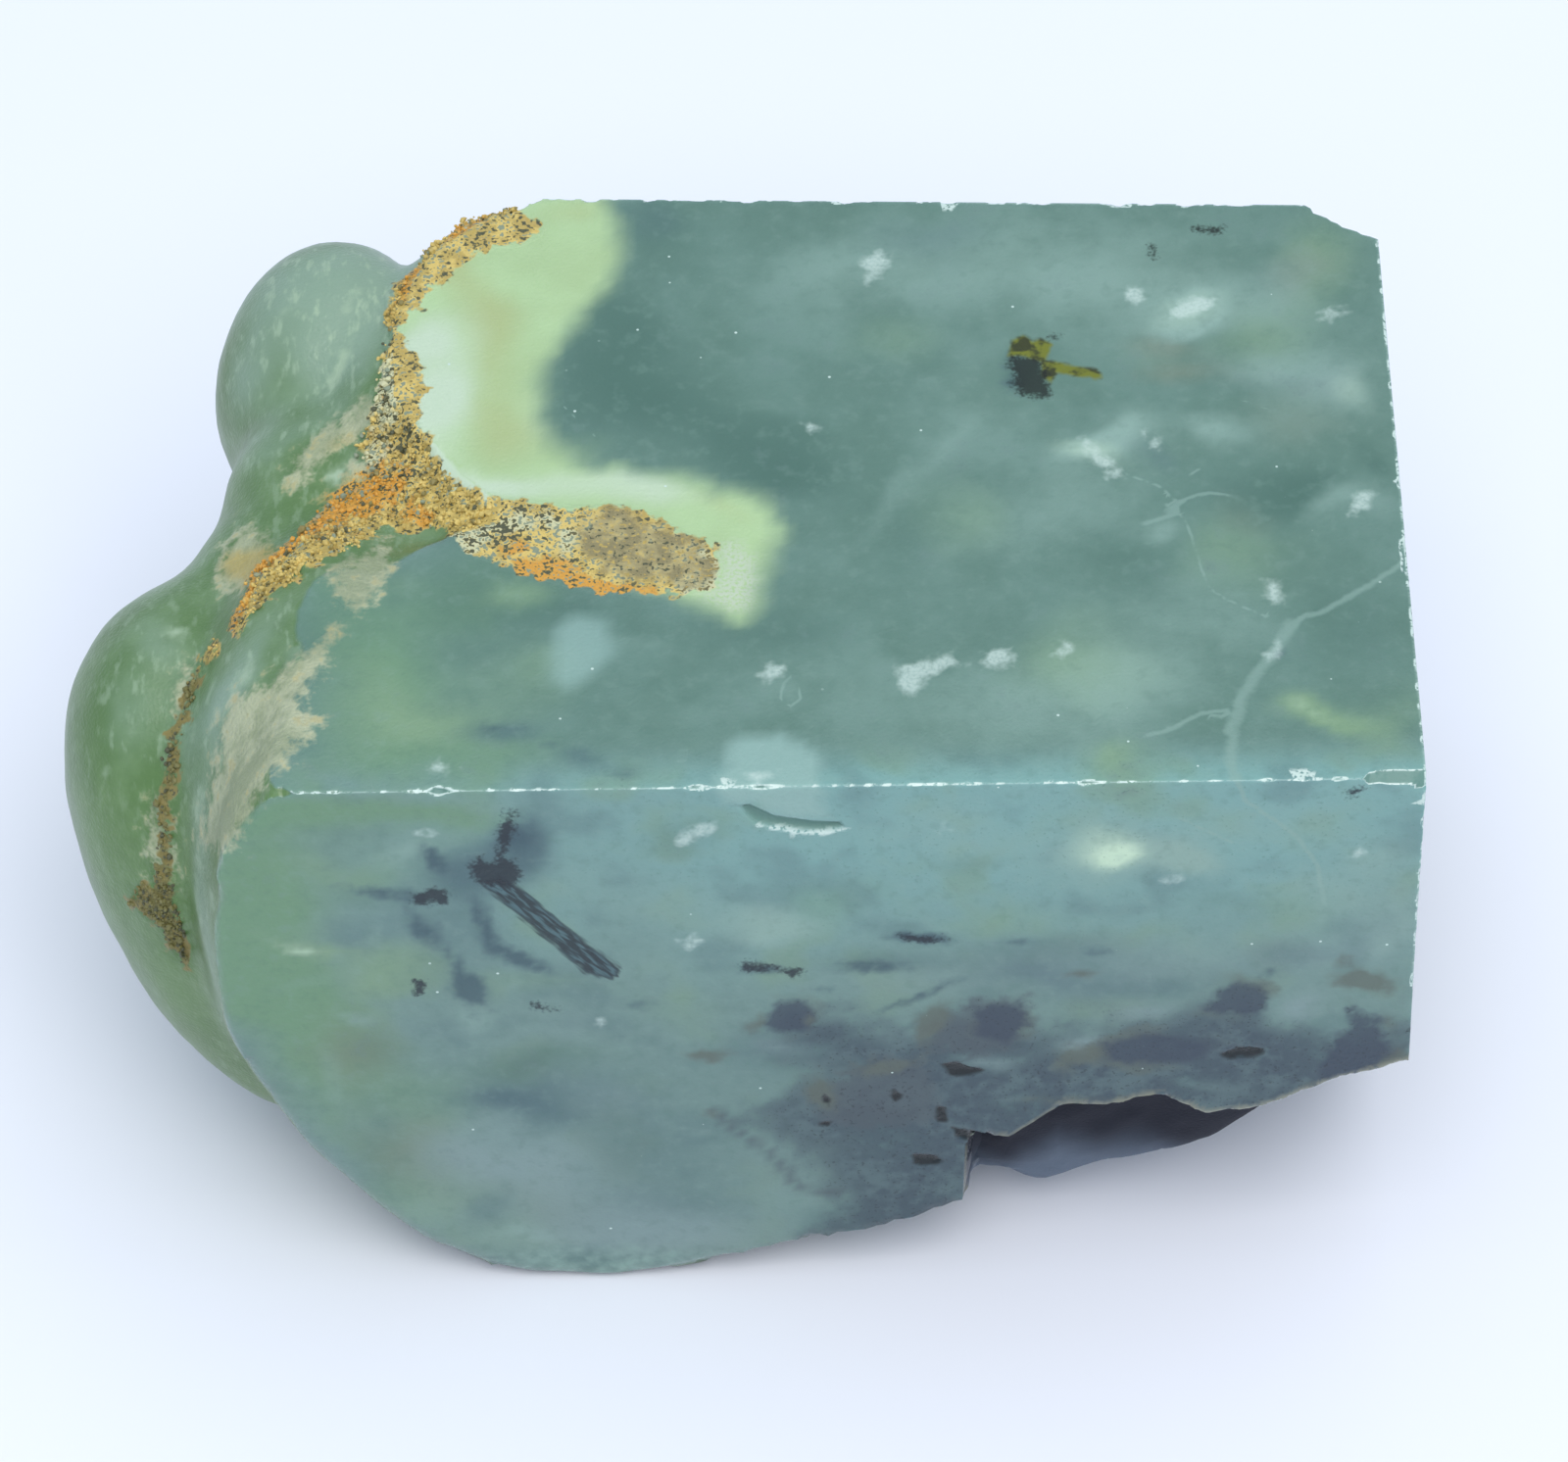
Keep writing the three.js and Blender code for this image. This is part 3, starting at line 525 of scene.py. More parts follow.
# How the markings are stored on a mesh, three to a layer.
LAYERS = {
    "crust patches": ("amber", "soot", "pallid"),
    "crust": ("dull", "rust", "sand"),
    "grit": ("tone",),
    "crust zones": ("dusky", "cream", "mint"),
    "cut": ("cut", "broken", "chip"),
    "mint clouds": ("khaki", "pale", "milky"),
    "clouds": ("deep", "veil", "moss"),
    "dull clouds": ("umber", "dusk", "painted_glow"),
    "front clouds": ("leaf", "ash", "milk_and_light"),
    "spots": ("blue", "brown", "flecks_and_glints"),
    "lobe clouds": ("painted_sheen", "frost", "front"),
    "crystals": ("ink", "olive", "needle"),
    "patches": ("patch", "haze", "pit"),
    "needle way": ("needle along", "needle across", "crack"),
    "seams": ("seam across", "seam near", "bruise"),
    "low front": ("slate", "rim", "lip"),
    "shaded_hollows": ("hollow", "recess shade low", "scoop"),
    "glints": ("scoop_glint",),
}


# ---------------------------------------------------------------- measuring


def unevenness(places, size, layers=1):
    """Soft random swell between -1 and 1 whose bumps are about size across."""
    total = np.zeros(len(places))
    whole = 0.0
    for layer in range(layers):
        weight = 0.5**layer
        spot = places / (size * weight) + SWELL_STEP * layer
        cell = np.floor(spot).astype(int)
        part = spot - cell
        part = part * part * (3 - 2 * part)
        for corner in itertools.product((0, 1), repeat=3):
            corner = np.array(corner)
            share = np.prod(np.where(corner, part, 1 - part), axis=1)
            at = (cell + corner) % GRID
            total += weight * share * SWELLS[at[:, 0], at[:, 1], at[:, 2]]
        whole += weight
    return SWELL_GAIN * total / whole


def ease(value, low, high):
    """0 at low, 1 at high, with a soft start and stop."""
    part = np.clip((value - low) / (high - low), 0, 1)
    return part * part * (3 - 2 * part)


def held(values):
    """Depths kept within what a stored mark needs."""
    return np.clip(values, -HELD, HELD)


def around(values, ends):
    """The mean of each corner's neighbours."""
    total = np.zeros_like(values)
    count = np.zeros(len(values))
    np.add.at(total, ends[:, 0], values[ends[:, 1]])
    np.add.at(total, ends[:, 1], values[ends[:, 0]])
    np.add.at(count, ends.ravel(), 1)
    return total / count.reshape(-1, *[1] * (values.ndim - 1))


def spread(values, ends, rounds):
    """The values blurred over the surface."""
    for turn in range(rounds):
        values = 0.3 * values + 0.7 * around(values, ends)
    return values


def relax(places, ends, chosen):
    """Moves the chosen corners halfway to the mean of their neighbours."""
    places[chosen] += 0.5 * (around(places, ends) - places)[chosen]


def beside(chosen, ends):
    """Corners that share an edge with a chosen one."""
    found = np.zeros(len(chosen), bool)
    np.logical_or.at(found, ends[:, 0], chosen[ends[:, 1]])
    np.logical_or.at(found, ends[:, 1], chosen[ends[:, 0]])
    return found


def read(parts, label, width=1, kind=float):
    """A row of numbers for each corner, edge, loop or face of a mesh."""
    flat = np.empty(width * len(parts), dtype=kind)
    parts.foreach_get(label, flat)
    return flat.reshape(-1, width)


def places_of(mesh):
    """Every corner of a mesh, in millimetres."""
    return read(mesh.vertices, "co", 3) / MM


def normals_of(mesh):
    """The way that the surface faces at each corner."""
    return read(mesh.vertices, "normal", 3)


def edges_of(mesh):
    """Both ends of every edge."""
    return read(mesh.edges, "vertices", 2, int)


def put_places(mesh, places):
    """Moves every corner of a mesh to its new place in millimetres."""
    mesh.vertices.foreach_set("co", (places * MM).ravel())
    mesh.update()


def way_out(face):
    """The unit direction that a sawn face looks in."""
    way = np.array(SAWN[face][0], float)
    return way / np.linalg.norm(way)


def depth_under(face, places):
    """How far each place lies inside a sawn face, in millimetres."""
    return (np.array(SAWN[face][1], float) - places) @ way_out(face)


def depths_of(places):
    """How far each place lies inside every sawn face."""
    return {face: depth_under(face, places) for face in SAWN}


def onto(face, places, chosen):
    """Moves the chosen places straight onto a sawn face."""
    places[chosen] += depth_under(face, places)[chosen, None] * way_out(face)


def from_path(flat, path):
    """Distance to a bent line, and the signed distance to its left side."""
    near = np.full(len(flat), FAR)
    across = near.copy()
    path = np.array(path, float)
    for start, stop in zip(path[:-1], path[1:]):
        run = stop - start
        away = flat - start
        part = np.clip(away @ run / (run @ run), 0, 1)
        gap = np.linalg.norm(away - part[:, None] * run, axis=1)
        if flat.shape[1] == 2:
            side = (run[0] * away[:, 1] - run[1] * away[:, 0]) / np.linalg.norm(run)
            across = np.where(gap < near, side, across)
        near = np.minimum(near, gap)
    return near, across


def inside_of(flat, outline):
    """Signed distance to a closed outline, above 0 inside it."""
    outline = np.array(outline, float)
    near = from_path(flat, np.vstack([outline, outline[:1]]))[0]
    inner = np.zeros(len(flat), bool)
    for start, stop in zip(outline, np.roll(outline, -1, axis=0)):
        level = (start[1] > flat[:, 1]) != (stop[1] > flat[:, 1])
        rise = stop[1] - start[1] if stop[1] != start[1] else 1e-9
        cross = start[0] + (flat[:, 1] - start[1]) * (stop[0] - start[0]) / rise
        inner ^= level & (flat[:, 0] < cross)
    return np.where(inner, near, -near)


def inside_any(flat, outlines):
    """Signed distance to the nearest of several outlines, above 0 inside one."""
    return np.max([inside_of(flat, outline) for outline in outlines], axis=0)


def oval(flat, x, y, long, wide, turn=0):
    """Distance from the middle of an oval, 1 at its outline."""
    across = flat - np.array([x, y], float)
    cos, sin = np.cos(radians(turn)), np.sin(radians(turn))
    u = (across[:, 0] * cos + across[:, 1] * sin) / long
    v = (across[:, 1] * cos - across[:, 0] * sin) / wide
    return np.hypot(u, v)


def charts_of(places):
    """The three charts that markings are placed on."""
    looks = np.stack([places[:, 0], LEAN * places[:, 1] + RISE * places[:, 2]], 1)
    return {"top": places[:, [0, 1]], "front": places[:, [0, 2]], "lobes": looks}


def drawn(places, figures, reach=None):
    """Signed distance to figures drawn on the top and front, above 0 inside one."""
    charts = charts_of(places)
    found = np.full(len(places), OUTSIDE)
    for face, outlines in figures.items():
        close = np.abs(depth_under(face, places)) < (reach or MARK_REACH[face])
        found = np.maximum(found, np.where(close, inside_any(charts[face], outlines), OUTSIDE))
    return found


# ------------------------------------------------------------- stone's shape


def even_stone():
    """The stone with small even faces, true sawn planes and smooth lobes."""
    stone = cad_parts["prehnite"].copy()
    stone.data = stone.data.copy()
    stone.parent = None
    stone.name = stone.data.name = "stone"
    for key in list(stone.keys()):
        del stone[key]
    bpy.context.collection.objects.link(stone)
    bpy.context.view_layer.objects.active = stone
    stone.select_set(True)
    bpy.ops.object.mode_set(mode="EDIT")
    bpy.ops.mesh.select_all(action="SELECT")
    bpy.ops.mesh.remove_doubles(threshold=WELD * MM)
    bpy.ops.object.mode_set(mode="OBJECT")
    even = stone.modifiers.new("even faces", "REMESH")
    even.mode = "VOXEL"
    even.voxel_size = EVEN_FACE * MM
    bpy.ops.object.modifier_apply(modifier=even.name)

    mesh = stone.data
    places = places_of(mesh)
    ends = edges_of(mesh)
    gaps = {face: np.abs(depth) for face, depth in depths_of(places).items()}
    flat = {face: gaps[face] < ON_FACE for face in SAWN}
    for face in SAWN:
        flat[face] |= beside(flat[face], ends) & (gaps[face] < NEAR_FACE)
    sawn = np.any([flat[face] for face in SAWN], axis=0)
    free = ~sawn | beside(~sawn, ends)
    for face in SAWN:
        onto(face, places, flat[face])
    for turn in range(SMOOTH_ROUNDS):
        relax(places, ends, free)
        for face in [*SAWN, *SAWN]:
            onto(face, places, flat[face])
    put_places(mesh, places)
    return stone


def split_faces(stone, chosen, times=1):
    """Splits the faces whose corners are all chosen, that many times."""
    mesh = stone.data
    for turn in range(times):
        picked = chosen(places_of(mesh))
        for part in (mesh.vertices, mesh.edges, mesh.polygons):
            part.foreach_set("select", np.zeros(len(part), bool))
        mesh.vertices.foreach_set("select", picked)
        bpy.ops.object.mode_set(mode="EDIT")
        bpy.ops.mesh.select_mode(type="VERT")
        bpy.ops.mesh.select_mode(type="FACE")
        bpy.ops.mesh.subdivide(number_cuts=1)
        bpy.ops.object.mode_set(mode="OBJECT")


def along_edges(places, width=0.75):
    """Corners that lie within width of where two sawn faces meet."""
    depths = depths_of(places)
    return np.any([(depths[one] < width) & (depths[other] < width) for one, other in EDGES], axis=0)


def in_small_marks(places):
    """Corners in the markings that need fine faces to be crisp."""
    front = np.abs(depth_under("front", places)) < 0.3
    small = [drawn(places, CRYSTALS[name]) for name in ("ink", "olive", "needle", "pit")]
    found = np.max(small, axis=0) > -0.45
    found &= front | (np.abs(depth_under("top", places)) < 0.1)
    return found | (front & (inside_of(charts_of(places)["front"], SCOOP) > -0.5))


def crust_depth(places):
    """How far inside the rusty crust each place lies, in millimetres."""
    y, z = places[:, 1], places[:, 2]
    charts = charts_of(places)
    looks = charts["lobes"]
    seam = CRUST_SEAM_HALF - from_path(looks, CRUST_SEAM)[0]
    seen = np.maximum(inside_any(looks, [CRUST, CRUST_END]), seam)
    seen += 0.4 * ease(looks[:, 1], 31, 34)
    near_side = (z > 20) & ((y < 15) | (z > 33))
    crust = np.where(near_side, seen, OUTSIDE)
    shallow = depth_under("top", places) < 2.6
    crust = np.maximum(crust, np.where(shallow, inside_of(charts["top"], MATRIX), OUTSIDE))
    for half, path in HIDDEN_CRUST:
        crust = np.maximum(crust, half - from_path(places, path)[0])
    return crust


def lip_height(x):
    """Height of the front face's broken lower lip, along the stone."""
    xs, zs = np.array(LIP).T
    return np.interp(x, xs, zs)


def over_lip(places):
    """How high each place is over the lip, which is a little ragged."""
    ragged = 0.12 * unevenness(places * (1, 0, 1), 0.7, 2)
    return places[:, 2] - lip_height(places[:, 0]) - ragged


def by_the_lip(places):
    """Corners close to the broken lip of the front face."""
    x, z = places[:, 0], places[:, 2]
    near = (np.abs(z - lip_height(x)) < 1.2) & (depth_under("front", places) < 3.6)
    return near & (x > 10) & (x < 32)


def face_down_to_lip(mesh):
    """Brings the front face straight down to its broken lip."""
    places = places_of(mesh)
    depth = depth_under("front", places)
    above = over_lip(places)
    chosen = (above > 0) & (depth < 4) & (places[:, 0] > 12) & (places[:, 2] < 24)
    chosen &= (depth < 0.1) | (normals_of(mesh)[:, 1] < -0.15)
    onto("front", places, chosen)
    places[:, 2] -= np.where(chosen & (above < 0.3), 0.8 * above, 0)
    put_places(mesh, places)


def recess_under_lip(mesh):
    """Breaks the rock back under the lip, and returns where it did, from 0 to 1."""
    places = places_of(mesh)
    x = places[:, 0]

    # it fades out towards both ends of the lip
    fade = ease(x, 10.9, 11.4) * ease(31.5 - x, 0, 3)
    under = -over_lip(places)
    wave = 0.3 * unevenness(places, 1.6, 2)
    wanted = ((RECESS + wave) * ease(under, -0.1, 0.8) + 0.3 * under) * fade
    wanted = np.where(under > 0, wanted, 0)
    depth = depth_under("front", places)
    short = np.where((depth < 11) & (places[:, 2] < 20), np.clip(wanted - depth, 0, 9), 0)
    places = places - short[:, None] * way_out("front")

    # the rock behind hangs lower, but not below where it may rest
    back = depth_under("front", places)
    sag = SAG * ease(x, 11.5, 15) * ease(29 - x, 0, 8) * ease(back, 0.9, 4) * ease(17 - back, 0, 8)
    sag *= ease(16 - places[:, 2], 0, 5)
    lowest = np.minimum(places[:, 2], 0.7)
    places[:, 2] = np.where(sag > 0, np.maximum(places[:, 2] - sag, lowest), places[:, 2])
    put_places(mesh, places)
    return np.where(depth < 12, ease(under, 0.05, 0.7) * fade, 0)


def chip_edges(mesh):
    """Knocks small chips off the sawn edges, and returns how deep each went."""
    places = places_of(mesh)
    lost = np.zeros(len(places))
    for one, other in EDGES:
        slant = way_out(one) + way_out(other)
        slant /= np.linalg.norm(slant)
        first, second = depth_under(one, places), depth_under(other, places)
        depth = (first + second) / np.sqrt(2)
        along = places - depth[:, None] * slant
        deep = WORN
        for start, size, layers, least, most in CHIPS:
            deep = deep + most * np.clip(unevenness(along + start, size, layers) - least, 0, 1)
        near = (first < CHIP_REACH) & (second < CHIP_REACH)
        gone = np.where(near, np.clip(deep - depth, 0, None), 0)
        places -= gone[:, None] * slant
        lost = np.maximum(lost, gone)
    put_places(mesh, places)
    return lost


def save_marks(mesh, marks):
    """Stores the markings on a mesh, three to a layer."""
    for layer, trio in LAYERS.items():
        if trio[0] in marks:
            values = np.zeros((len(mesh.vertices), 3), np.float32)
            for place, name in enumerate(trio):
                values[:, place] = marks.get(name, 0)
            stored = mesh.attributes.new(layer, "FLOAT_VECTOR", "POINT")
            stored.data.foreach_set("vector", values.ravel())


stone = even_stone()
mesh = stone.data
split_faces(stone, along_edges, 2)
split_faces(stone, in_small_marks, 2)
split_faces(stone, lambda spots: crust_depth(spots) > -0.4)
split_faces(stone, lambda spots: (crust_depth(spots) > -0.2) & (depth_under("top", spots) > 0.1))
split_faces(stone, by_the_lip)
lost = chip_edges(mesh)
face_down_to_lip(mesh)
recess = recess_under_lip(mesh)
places = places_of(mesh)
normals = normals_of(mesh)
ends = edges_of(mesh)
charts = charts_of(places)
level, upright, looks = charts["top"], charts["front"], charts["lobes"]
x, z = places[:, 0], places[:, 2]

# sawn faces, the nicked back corner, the chipped one and the rock under the front
depths = depths_of(places)
on = {face: np.abs(depths[face]) < STILL_SAWN for face in SAWN}
sawn = np.any([on[face] for face in SAWN], axis=0) | (lost > 0)
nick = ~sawn & (depths["back"] < 5) & (depths["end"] < 5)
corner_chip = ~sawn & ~nick & (x > -6) & (z > 27)
undercut = ~sawn & ~corner_chip & (normals[:, 1] < -0.3) & (x > 4) & (z < 27)
undercut |= beside(undercut, ends) & ~sawn
recess *= ease(depths["end"], 0.1, 0.6)
fresh = sawn | corner_chip | undercut | nick

# the sawn faces round softly into the skin
border = spread(fresh.astype(float), ends, 3)
rounded = (border > 0.04) & (border < 0.96) & (lost == 0)
for turn in range(BORDER_ROUNDS):
    relax(places, ends, rounded)
put_places(mesh, places)
normals = normals_of(mesh)

# swells on the skin, ridges on broken rock, grit on the crust, and small hollows
broken = (~sawn & ~nick) * np.maximum(
    ease(-normals[:, 2], 0.3, 0.8) * ease(x, -22, -10),
    ease(x, 2, 8) * ease(32 - z, 0, 6),
)
skin = ~fresh * (1 - broken)
whole_crust = crust_depth(places)
sand = np.where(z > 20, inside_any(looks, SANDS), OUTSIDE)
push = skin * (0.05 * unevenness(places, 3, 2) + 0.012 * unevenness(places, 0.9, 1))
ridged = 1 - 2 * np.abs(unevenness(places + 13, 3.4, 3))
ridged = 0.28 * ridged - 0.1 + 0.12 * unevenness(places, 0.9, 2)
push += np.where(undercut, 0.3, 1) * broken * ridged
gritty = ease(whole_crust + 0.4 * unevenness(places + 3, 0.8, 2), -0.1, 0.4) * ~sawn
push += gritty * (0.1 * unevenness(places + 3, 0.55, 2) + 0.06)
push += ease(sand, -0.1, 0.3) * ~sawn * (0.05 * unevenness(places + 21, 0.6, 2) + 0.02)
push = np.where((z < 0.6) | sawn, 0, push)
places = places + push[:, None] * normals
scoop = inside_of(upright, SCOOP)
pitted = drawn(places, CRYSTALS["pit"]) + 0.12 * unevenness(places, 0.3, 2)
hollow = np.maximum(0.12 * ease(pitted, -0.05, 0.25), 0.3 * ease(scoop, -0.02, 0.35))
hollow = np.where(depths["front"] < 0.3, hollow, 0)
places -= hollow[:, None] * way_out("front")
low, high = (np.array(v) / MM for v in cad_box)
places = np.clip(places, low, high)
put_places(mesh, places)
x, z = places[:, 0], places[:, 2]

# ------------------------------------------------------------ stone's markings

rough = unevenness(places, 1.1, 3)
fine = unevenness(places + 9, 0.45, 2)
soft = unevenness(places + 5, 4, 1)
drift = unevenness(places + 17, 3, 1)
behind_lip = (undercut | (recess > 0)) * ease(-depths["front"], -11, -8)
share = {face: sawn * ease(-depths[face], -3.5, -0.2) for face in ("top", "front")}
share["front"] = np.maximum(share["front"], behind_lip)
share["lobes"] = ~sawn * ease(normals @ np.array([0, -RISE, LEAN]), -0.25, 0.1)
marks = {"cut": border, "broken": broken * ~fresh, "chip": np.where(corner_chip, CORNER_CHIP, lost)}
for name in {**ON_TOP, **ON_FRONT, **ON_LOBES}:
    marks[name] = np.zeros(len(places))
    amount = 0.8 if name in WIDE_CLOUDS else 0.25
    for face, groups in (("top", ON_TOP), ("front", ON_FRONT), ("lobes", ON_LOBES)):
        bent = charts[face] + amount * np.stack([soft, drift], 1)
        bent += 0.15 * np.stack([rough, fine], 1)
        here = np.zeros(len(places))
        for x_mid, y_mid, long, wide, strength, *turn in groups.get(name, []):
            here += strength * np.exp(-(oval(bent, x_mid, y_mid, long, wide, *turn) ** 2))
        marks[name] = np.maximum(marks[name], here * share[face])
# painted sheen of the sky on the lobes, strongest where they face up
painted_sheen_up = ~sawn * 0.25 * ease(normals[:, 2], 0.2, 0.95)
marks["painted_sheen"] = np.clip(0.75 * marks["painted_sheen"] + painted_sheen_up, 0, 1)
for name, figures in CRYSTALS.items():
    frayed = drawn(places, figures) + (0.25 if name in ("patch", "haze") else 0.04) * rough
    marks[name] = held(np.where(share["top"] + share["front"] > 0, frayed, OUTSIDE))
marks["flecks_and_glints"] = held(drawn(places, FROST_AND_GLINTS, FROST_REACH) + 0.1 * fine)
marks["milky"] = np.where(on["top"], ease(inside_of(level, MILKY) + 0.2 * rough, -0.7, 0.5), 0)
marks["scoop"] = held(np.where(on["front"] | (depths["front"] < 0.5), scoop, OUTSIDE))
minty = np.maximum(share["top"], ease(-depths["top"], -4, -2.4) * ease(x, -15.6, -14.6))
marks["mint"] = ease(inside_of(level, MINT) + 0.35 * rough, -0.9, 0.9) * minty
marks["cream"] = ease(inside_of(level, CREAM) + 0.25 * rough, -0.3, 0.5) * on["top"]
# the front face is painted lighter than the top, partly its own milky tone and partly painted
# light, and lighter still towards its top
marks["front"] = share["front"]
marks["milk_and_light"] = share["front"] * ease(z + 1.2 * soft - 0.05 * x, 20, 33) * ease(x, -24, 6)

# slate low on the front, and slate and clouds on the faces out of its sight
slate = ease(inside_of(upright, SLATE) + 0.9 * rough + 0.6 * soft, -2, 3) * share["front"]
slate *= 1 - 0.65 * np.minimum(marks["ash"], 1)
hidden = fresh * ease(np.minimum(depths["top"], depths["front"]), 0.1, 1)
low_slate = ease(13 + 2.5 * soft + rough + 0.15 * x - z, 0, 9) * ease(x, -8, 12)
marks["slate"] = np.maximum(slate, 0.8 * hidden * low_slate)
for name, (start, strength) in HIDDEN_CLOUDS.items():
    marks[name] += hidden * strength * ease(unevenness(places + start, 7, 3), 0.1, 0.9)
bruised = np.where(on["top"], inside_of(level, BRUISE), inside_of(upright, BRUISE_IN_FRONT))
marks["bruise"] = ease(bruised + 0.3 * rough, -0.4, 0.5) * ease(depths["front"], 9, 3)
marks["rim"] = ease(3.2 - z + 0.8 * rough, 0, 2) * ease(2 - x, 0, 4) * share["front"]

# how far each corner is from the middle of a seam, counted in its half widths
across_seam = np.full(len(places), SEAM_FAR)
near_seam = across_seam.copy()
seamed = (on["top"], level, SEAMS_ON_TOP), (on["front"], upright, SEAMS_ON_FRONT)
for chosen, flat, lines in seamed:
    for half, line in lines:
        near, across = from_path(flat, line)
        better = chosen & (near / half < near_seam)
        near_seam = np.where(better, near / half, near_seam)
        across_seam = np.where(better, across / half, across_seam)
marks["seam across"] = across_seam
marks["seam near"] = near_seam
shaken = upright + 0.2 * np.stack([fine, rough], 1)
marks["crack"] = on["front"] * ease(0.45 - from_path(shaken, CRACK)[0], 0, 0.4)

head, tail = np.array(NEEDLE_WAY)
run = (tail - head) / np.linalg.norm(tail - head)
away = upright - head
marks["needle along"] = away @ run
marks["needle across"] = run[0] * away[:, 1] - run[1] * away[:, 0]
marks["rust"] = held(whole_crust)
marks["dusky"] = on["top"] * ease(inside_of(level, DUSKY) + 0.8 * rough, -0.4, 0.6)
marks["sand"] = held(sand)
marks["dull"] = ease(looks[:, 1] + 0.4 * rough, 16.5, 14.5)

# where the recess is and how far under the lip for its painted shade, the thin lip over it, and a
# painted glint along the edge of the scoop
to_lip = lip_height(x) - z
marks["hollow"] = recess
# painted shade under the lip fades from dark at the lip to pale bluish grey lower down
marks["recess shade low"] = ease(to_lip + 0.25 * (17 - x), 3, 10)
marks["lip"] = on["front"] * ease(to_lip + 0.35 + 0.15 * rough, 0, 0.3) * ease(x, 11.5, 13)
scoop_glint = ease(0.2 - from_path(upright, SCOOP[2:7])[0] + 0.08 * fine, 0.04, 0.18)
marks["scoop_glint"] = np.where(depths["front"] < 0.6, scoop_glint, 0)

save_marks(mesh, marks)
bpy.ops.object.shade_smooth_by_angle(angle=radians(CREASE))

# ---------------------------------------------------------------- rusty grains


def rusty_grains():
    """Small grains of rusty grit, half sunk in the seams between the lobes."""
    dice = np.random.default_rng(5)
    thick = ~sawn & (whole_crust + 0.3 * rough > 0.05)
    chosen = dice.choice(np.flatnonzero(thick), GRAINS)
    bpy.ops.mesh.primitive_ico_sphere_add(subdivisions=1, radius=1)
    grain = bpy.context.active_object
    corners = read(grain.data.vertices, "co", 3)
    faces = np.array([tuple(p.vertices) for p in grain.data.polygons])
    every, tones = [], []
    for at in chosen:
        size = 0.06 + 0.11 * dice.random() ** 2
        stretch = Matrix.Diagonal(dice.uniform(0.7, 1.3, 3))
        turn = Matrix.Rotation(dice.uniform(0, 6.28), 3, dice.normal(size=3))
        shaped = corners * (1 + dice.uniform(-0.2, 0.2, (len(corners), 1)))
        shaped = shaped @ np.array(turn @ stretch).T * size
        spot = places[at] + dice.normal(0, 0.1, 3) - 0.3 * size * normals[at]
        every.append(shaped + spot)
        tones.append(dice.random())
    step = len(corners) * np.arange(GRAINS)[:, None, None]
    grits = bpy.data.meshes.new("rusty grains")
    all_faces = (faces[None] + step).reshape(-1, 3)
    spots = np.clip(np.vstack(every), low + 0.02, high - 0.02)
    grits.from_pydata((spots * MM).tolist(), [], all_faces.tolist())
    kept = ("amber", "soot", "pallid", "dull")
    given = {name: np.repeat(marks[name][chosen], len(corners)) for name in kept}
    given["tone"] = np.repeat(tones, len(corners))
    save_marks(grits, given)
    bpy.data.objects.remove(grain)
    grains = bpy.data.objects.new("rusty_grains", grits)
    bpy.context.collection.objects.link(grains)
    return grains


grains = rusty_grains()

# ------------------------------------------------------------------- finishes


class Recipe:
    """Lays out the nodes of one finish, in millimetres."""

    def __init__(self, tree):
        self.tree = tree
        self.layers = {}

    def feed(self, made, sockets):
        """Links or sets the sockets of a node."""
        for name, value in sockets.items():
            if hasattr(value, "is_linked"):
                self.tree.links.new(value, made.inputs[name])
            else:
                made.inputs[name].default_value = value

    def node(self, kind, sockets=None, **settings):
        made = self.tree.nodes.new(kind)
        for name, value in settings.items():
            setattr(made, name, value)
        self.feed(made, sockets or {})
        return made

    def use(self, group, *values):
        """Places a shared effect, its inputs fed in their order."""
        return self.node("ShaderNodeGroup", dict(enumerate(values)), node_tree=group).outputs

    def place(self, stretch=(1, 1, 1)):
        """Where each point of the stone is, in millimetres."""
        spot = self.node("ShaderNodeTexCoord").outputs["Object"]
        scale = tuple(1 / MM * v for v in stretch)
        return self.node("ShaderNodeMapping", {"Vector": spot, "Scale": scale}).outputs[0]

    def mark(self, name):
        """One of the markings that are stored on the mesh."""
        layer = next(layer for layer, trio in LAYERS.items() if name in trio)
        if layer not in self.layers:
            stored = self.node("ShaderNodeAttribute", attribute_name=layer).outputs["Vector"]
            self.layers[layer] = self.node("ShaderNodeSeparateXYZ", {0: stored}).outputs
        return self.layers[layer][LAYERS[layer].index(name)]

    def noise(self, place, size, detail=2):
        scale = self.math("DIVIDE", 1, size) if hasattr(size, "is_linked") else 1 / size
        sockets = {"Vector": place, "Scale": scale, "Detail": detail}
        return self.node("ShaderNodeTexNoise", sockets).outputs["Fac"]

    def math(self, work, *values):
        return self.node("ShaderNodeMath", dict(enumerate(values)), operation=work).outputs[0]

    def times(self, mask, *others):
        for other in others:
            mask = self.math("MULTIPLY", mask, other)
        return mask

    def most(self, mask, *others):
        for other in others:
            mask = self.math("MAXIMUM", mask, other)
        return mask

    def line(self, value, slope, start):
        """The value scaled by slope, from start on."""
        return self.math("MULTIPLY_ADD", value, slope, start)

    def ease(self, value, low, high):
        sockets = {"Value": value, "From Min": low, "From Max": high}
        return self.node("ShaderNodeMapRange", sockets, interpolation_type="SMOOTHSTEP").outputs[0]

    def sway(self, value, noise, amount):
        """The value moved up and down by a noise."""
        return self.line(self.math("SUBTRACT", noise, 0.5), amount, value)

    def paint(self, mask, under, over):
        """One colour over another where the mask is."""
        return self.node("ShaderNodeMix", {0: mask, 6: under, 7: over}, data_type="RGBA").outputs[2]

    def coats(self, colour, *coats):
        """Coats painted over a colour, each a mask, its paint and any strengths."""
        for mask, over, *strengths in coats:
            colour = self.paint(self.times(mask, *strengths), colour, over)
        return colour


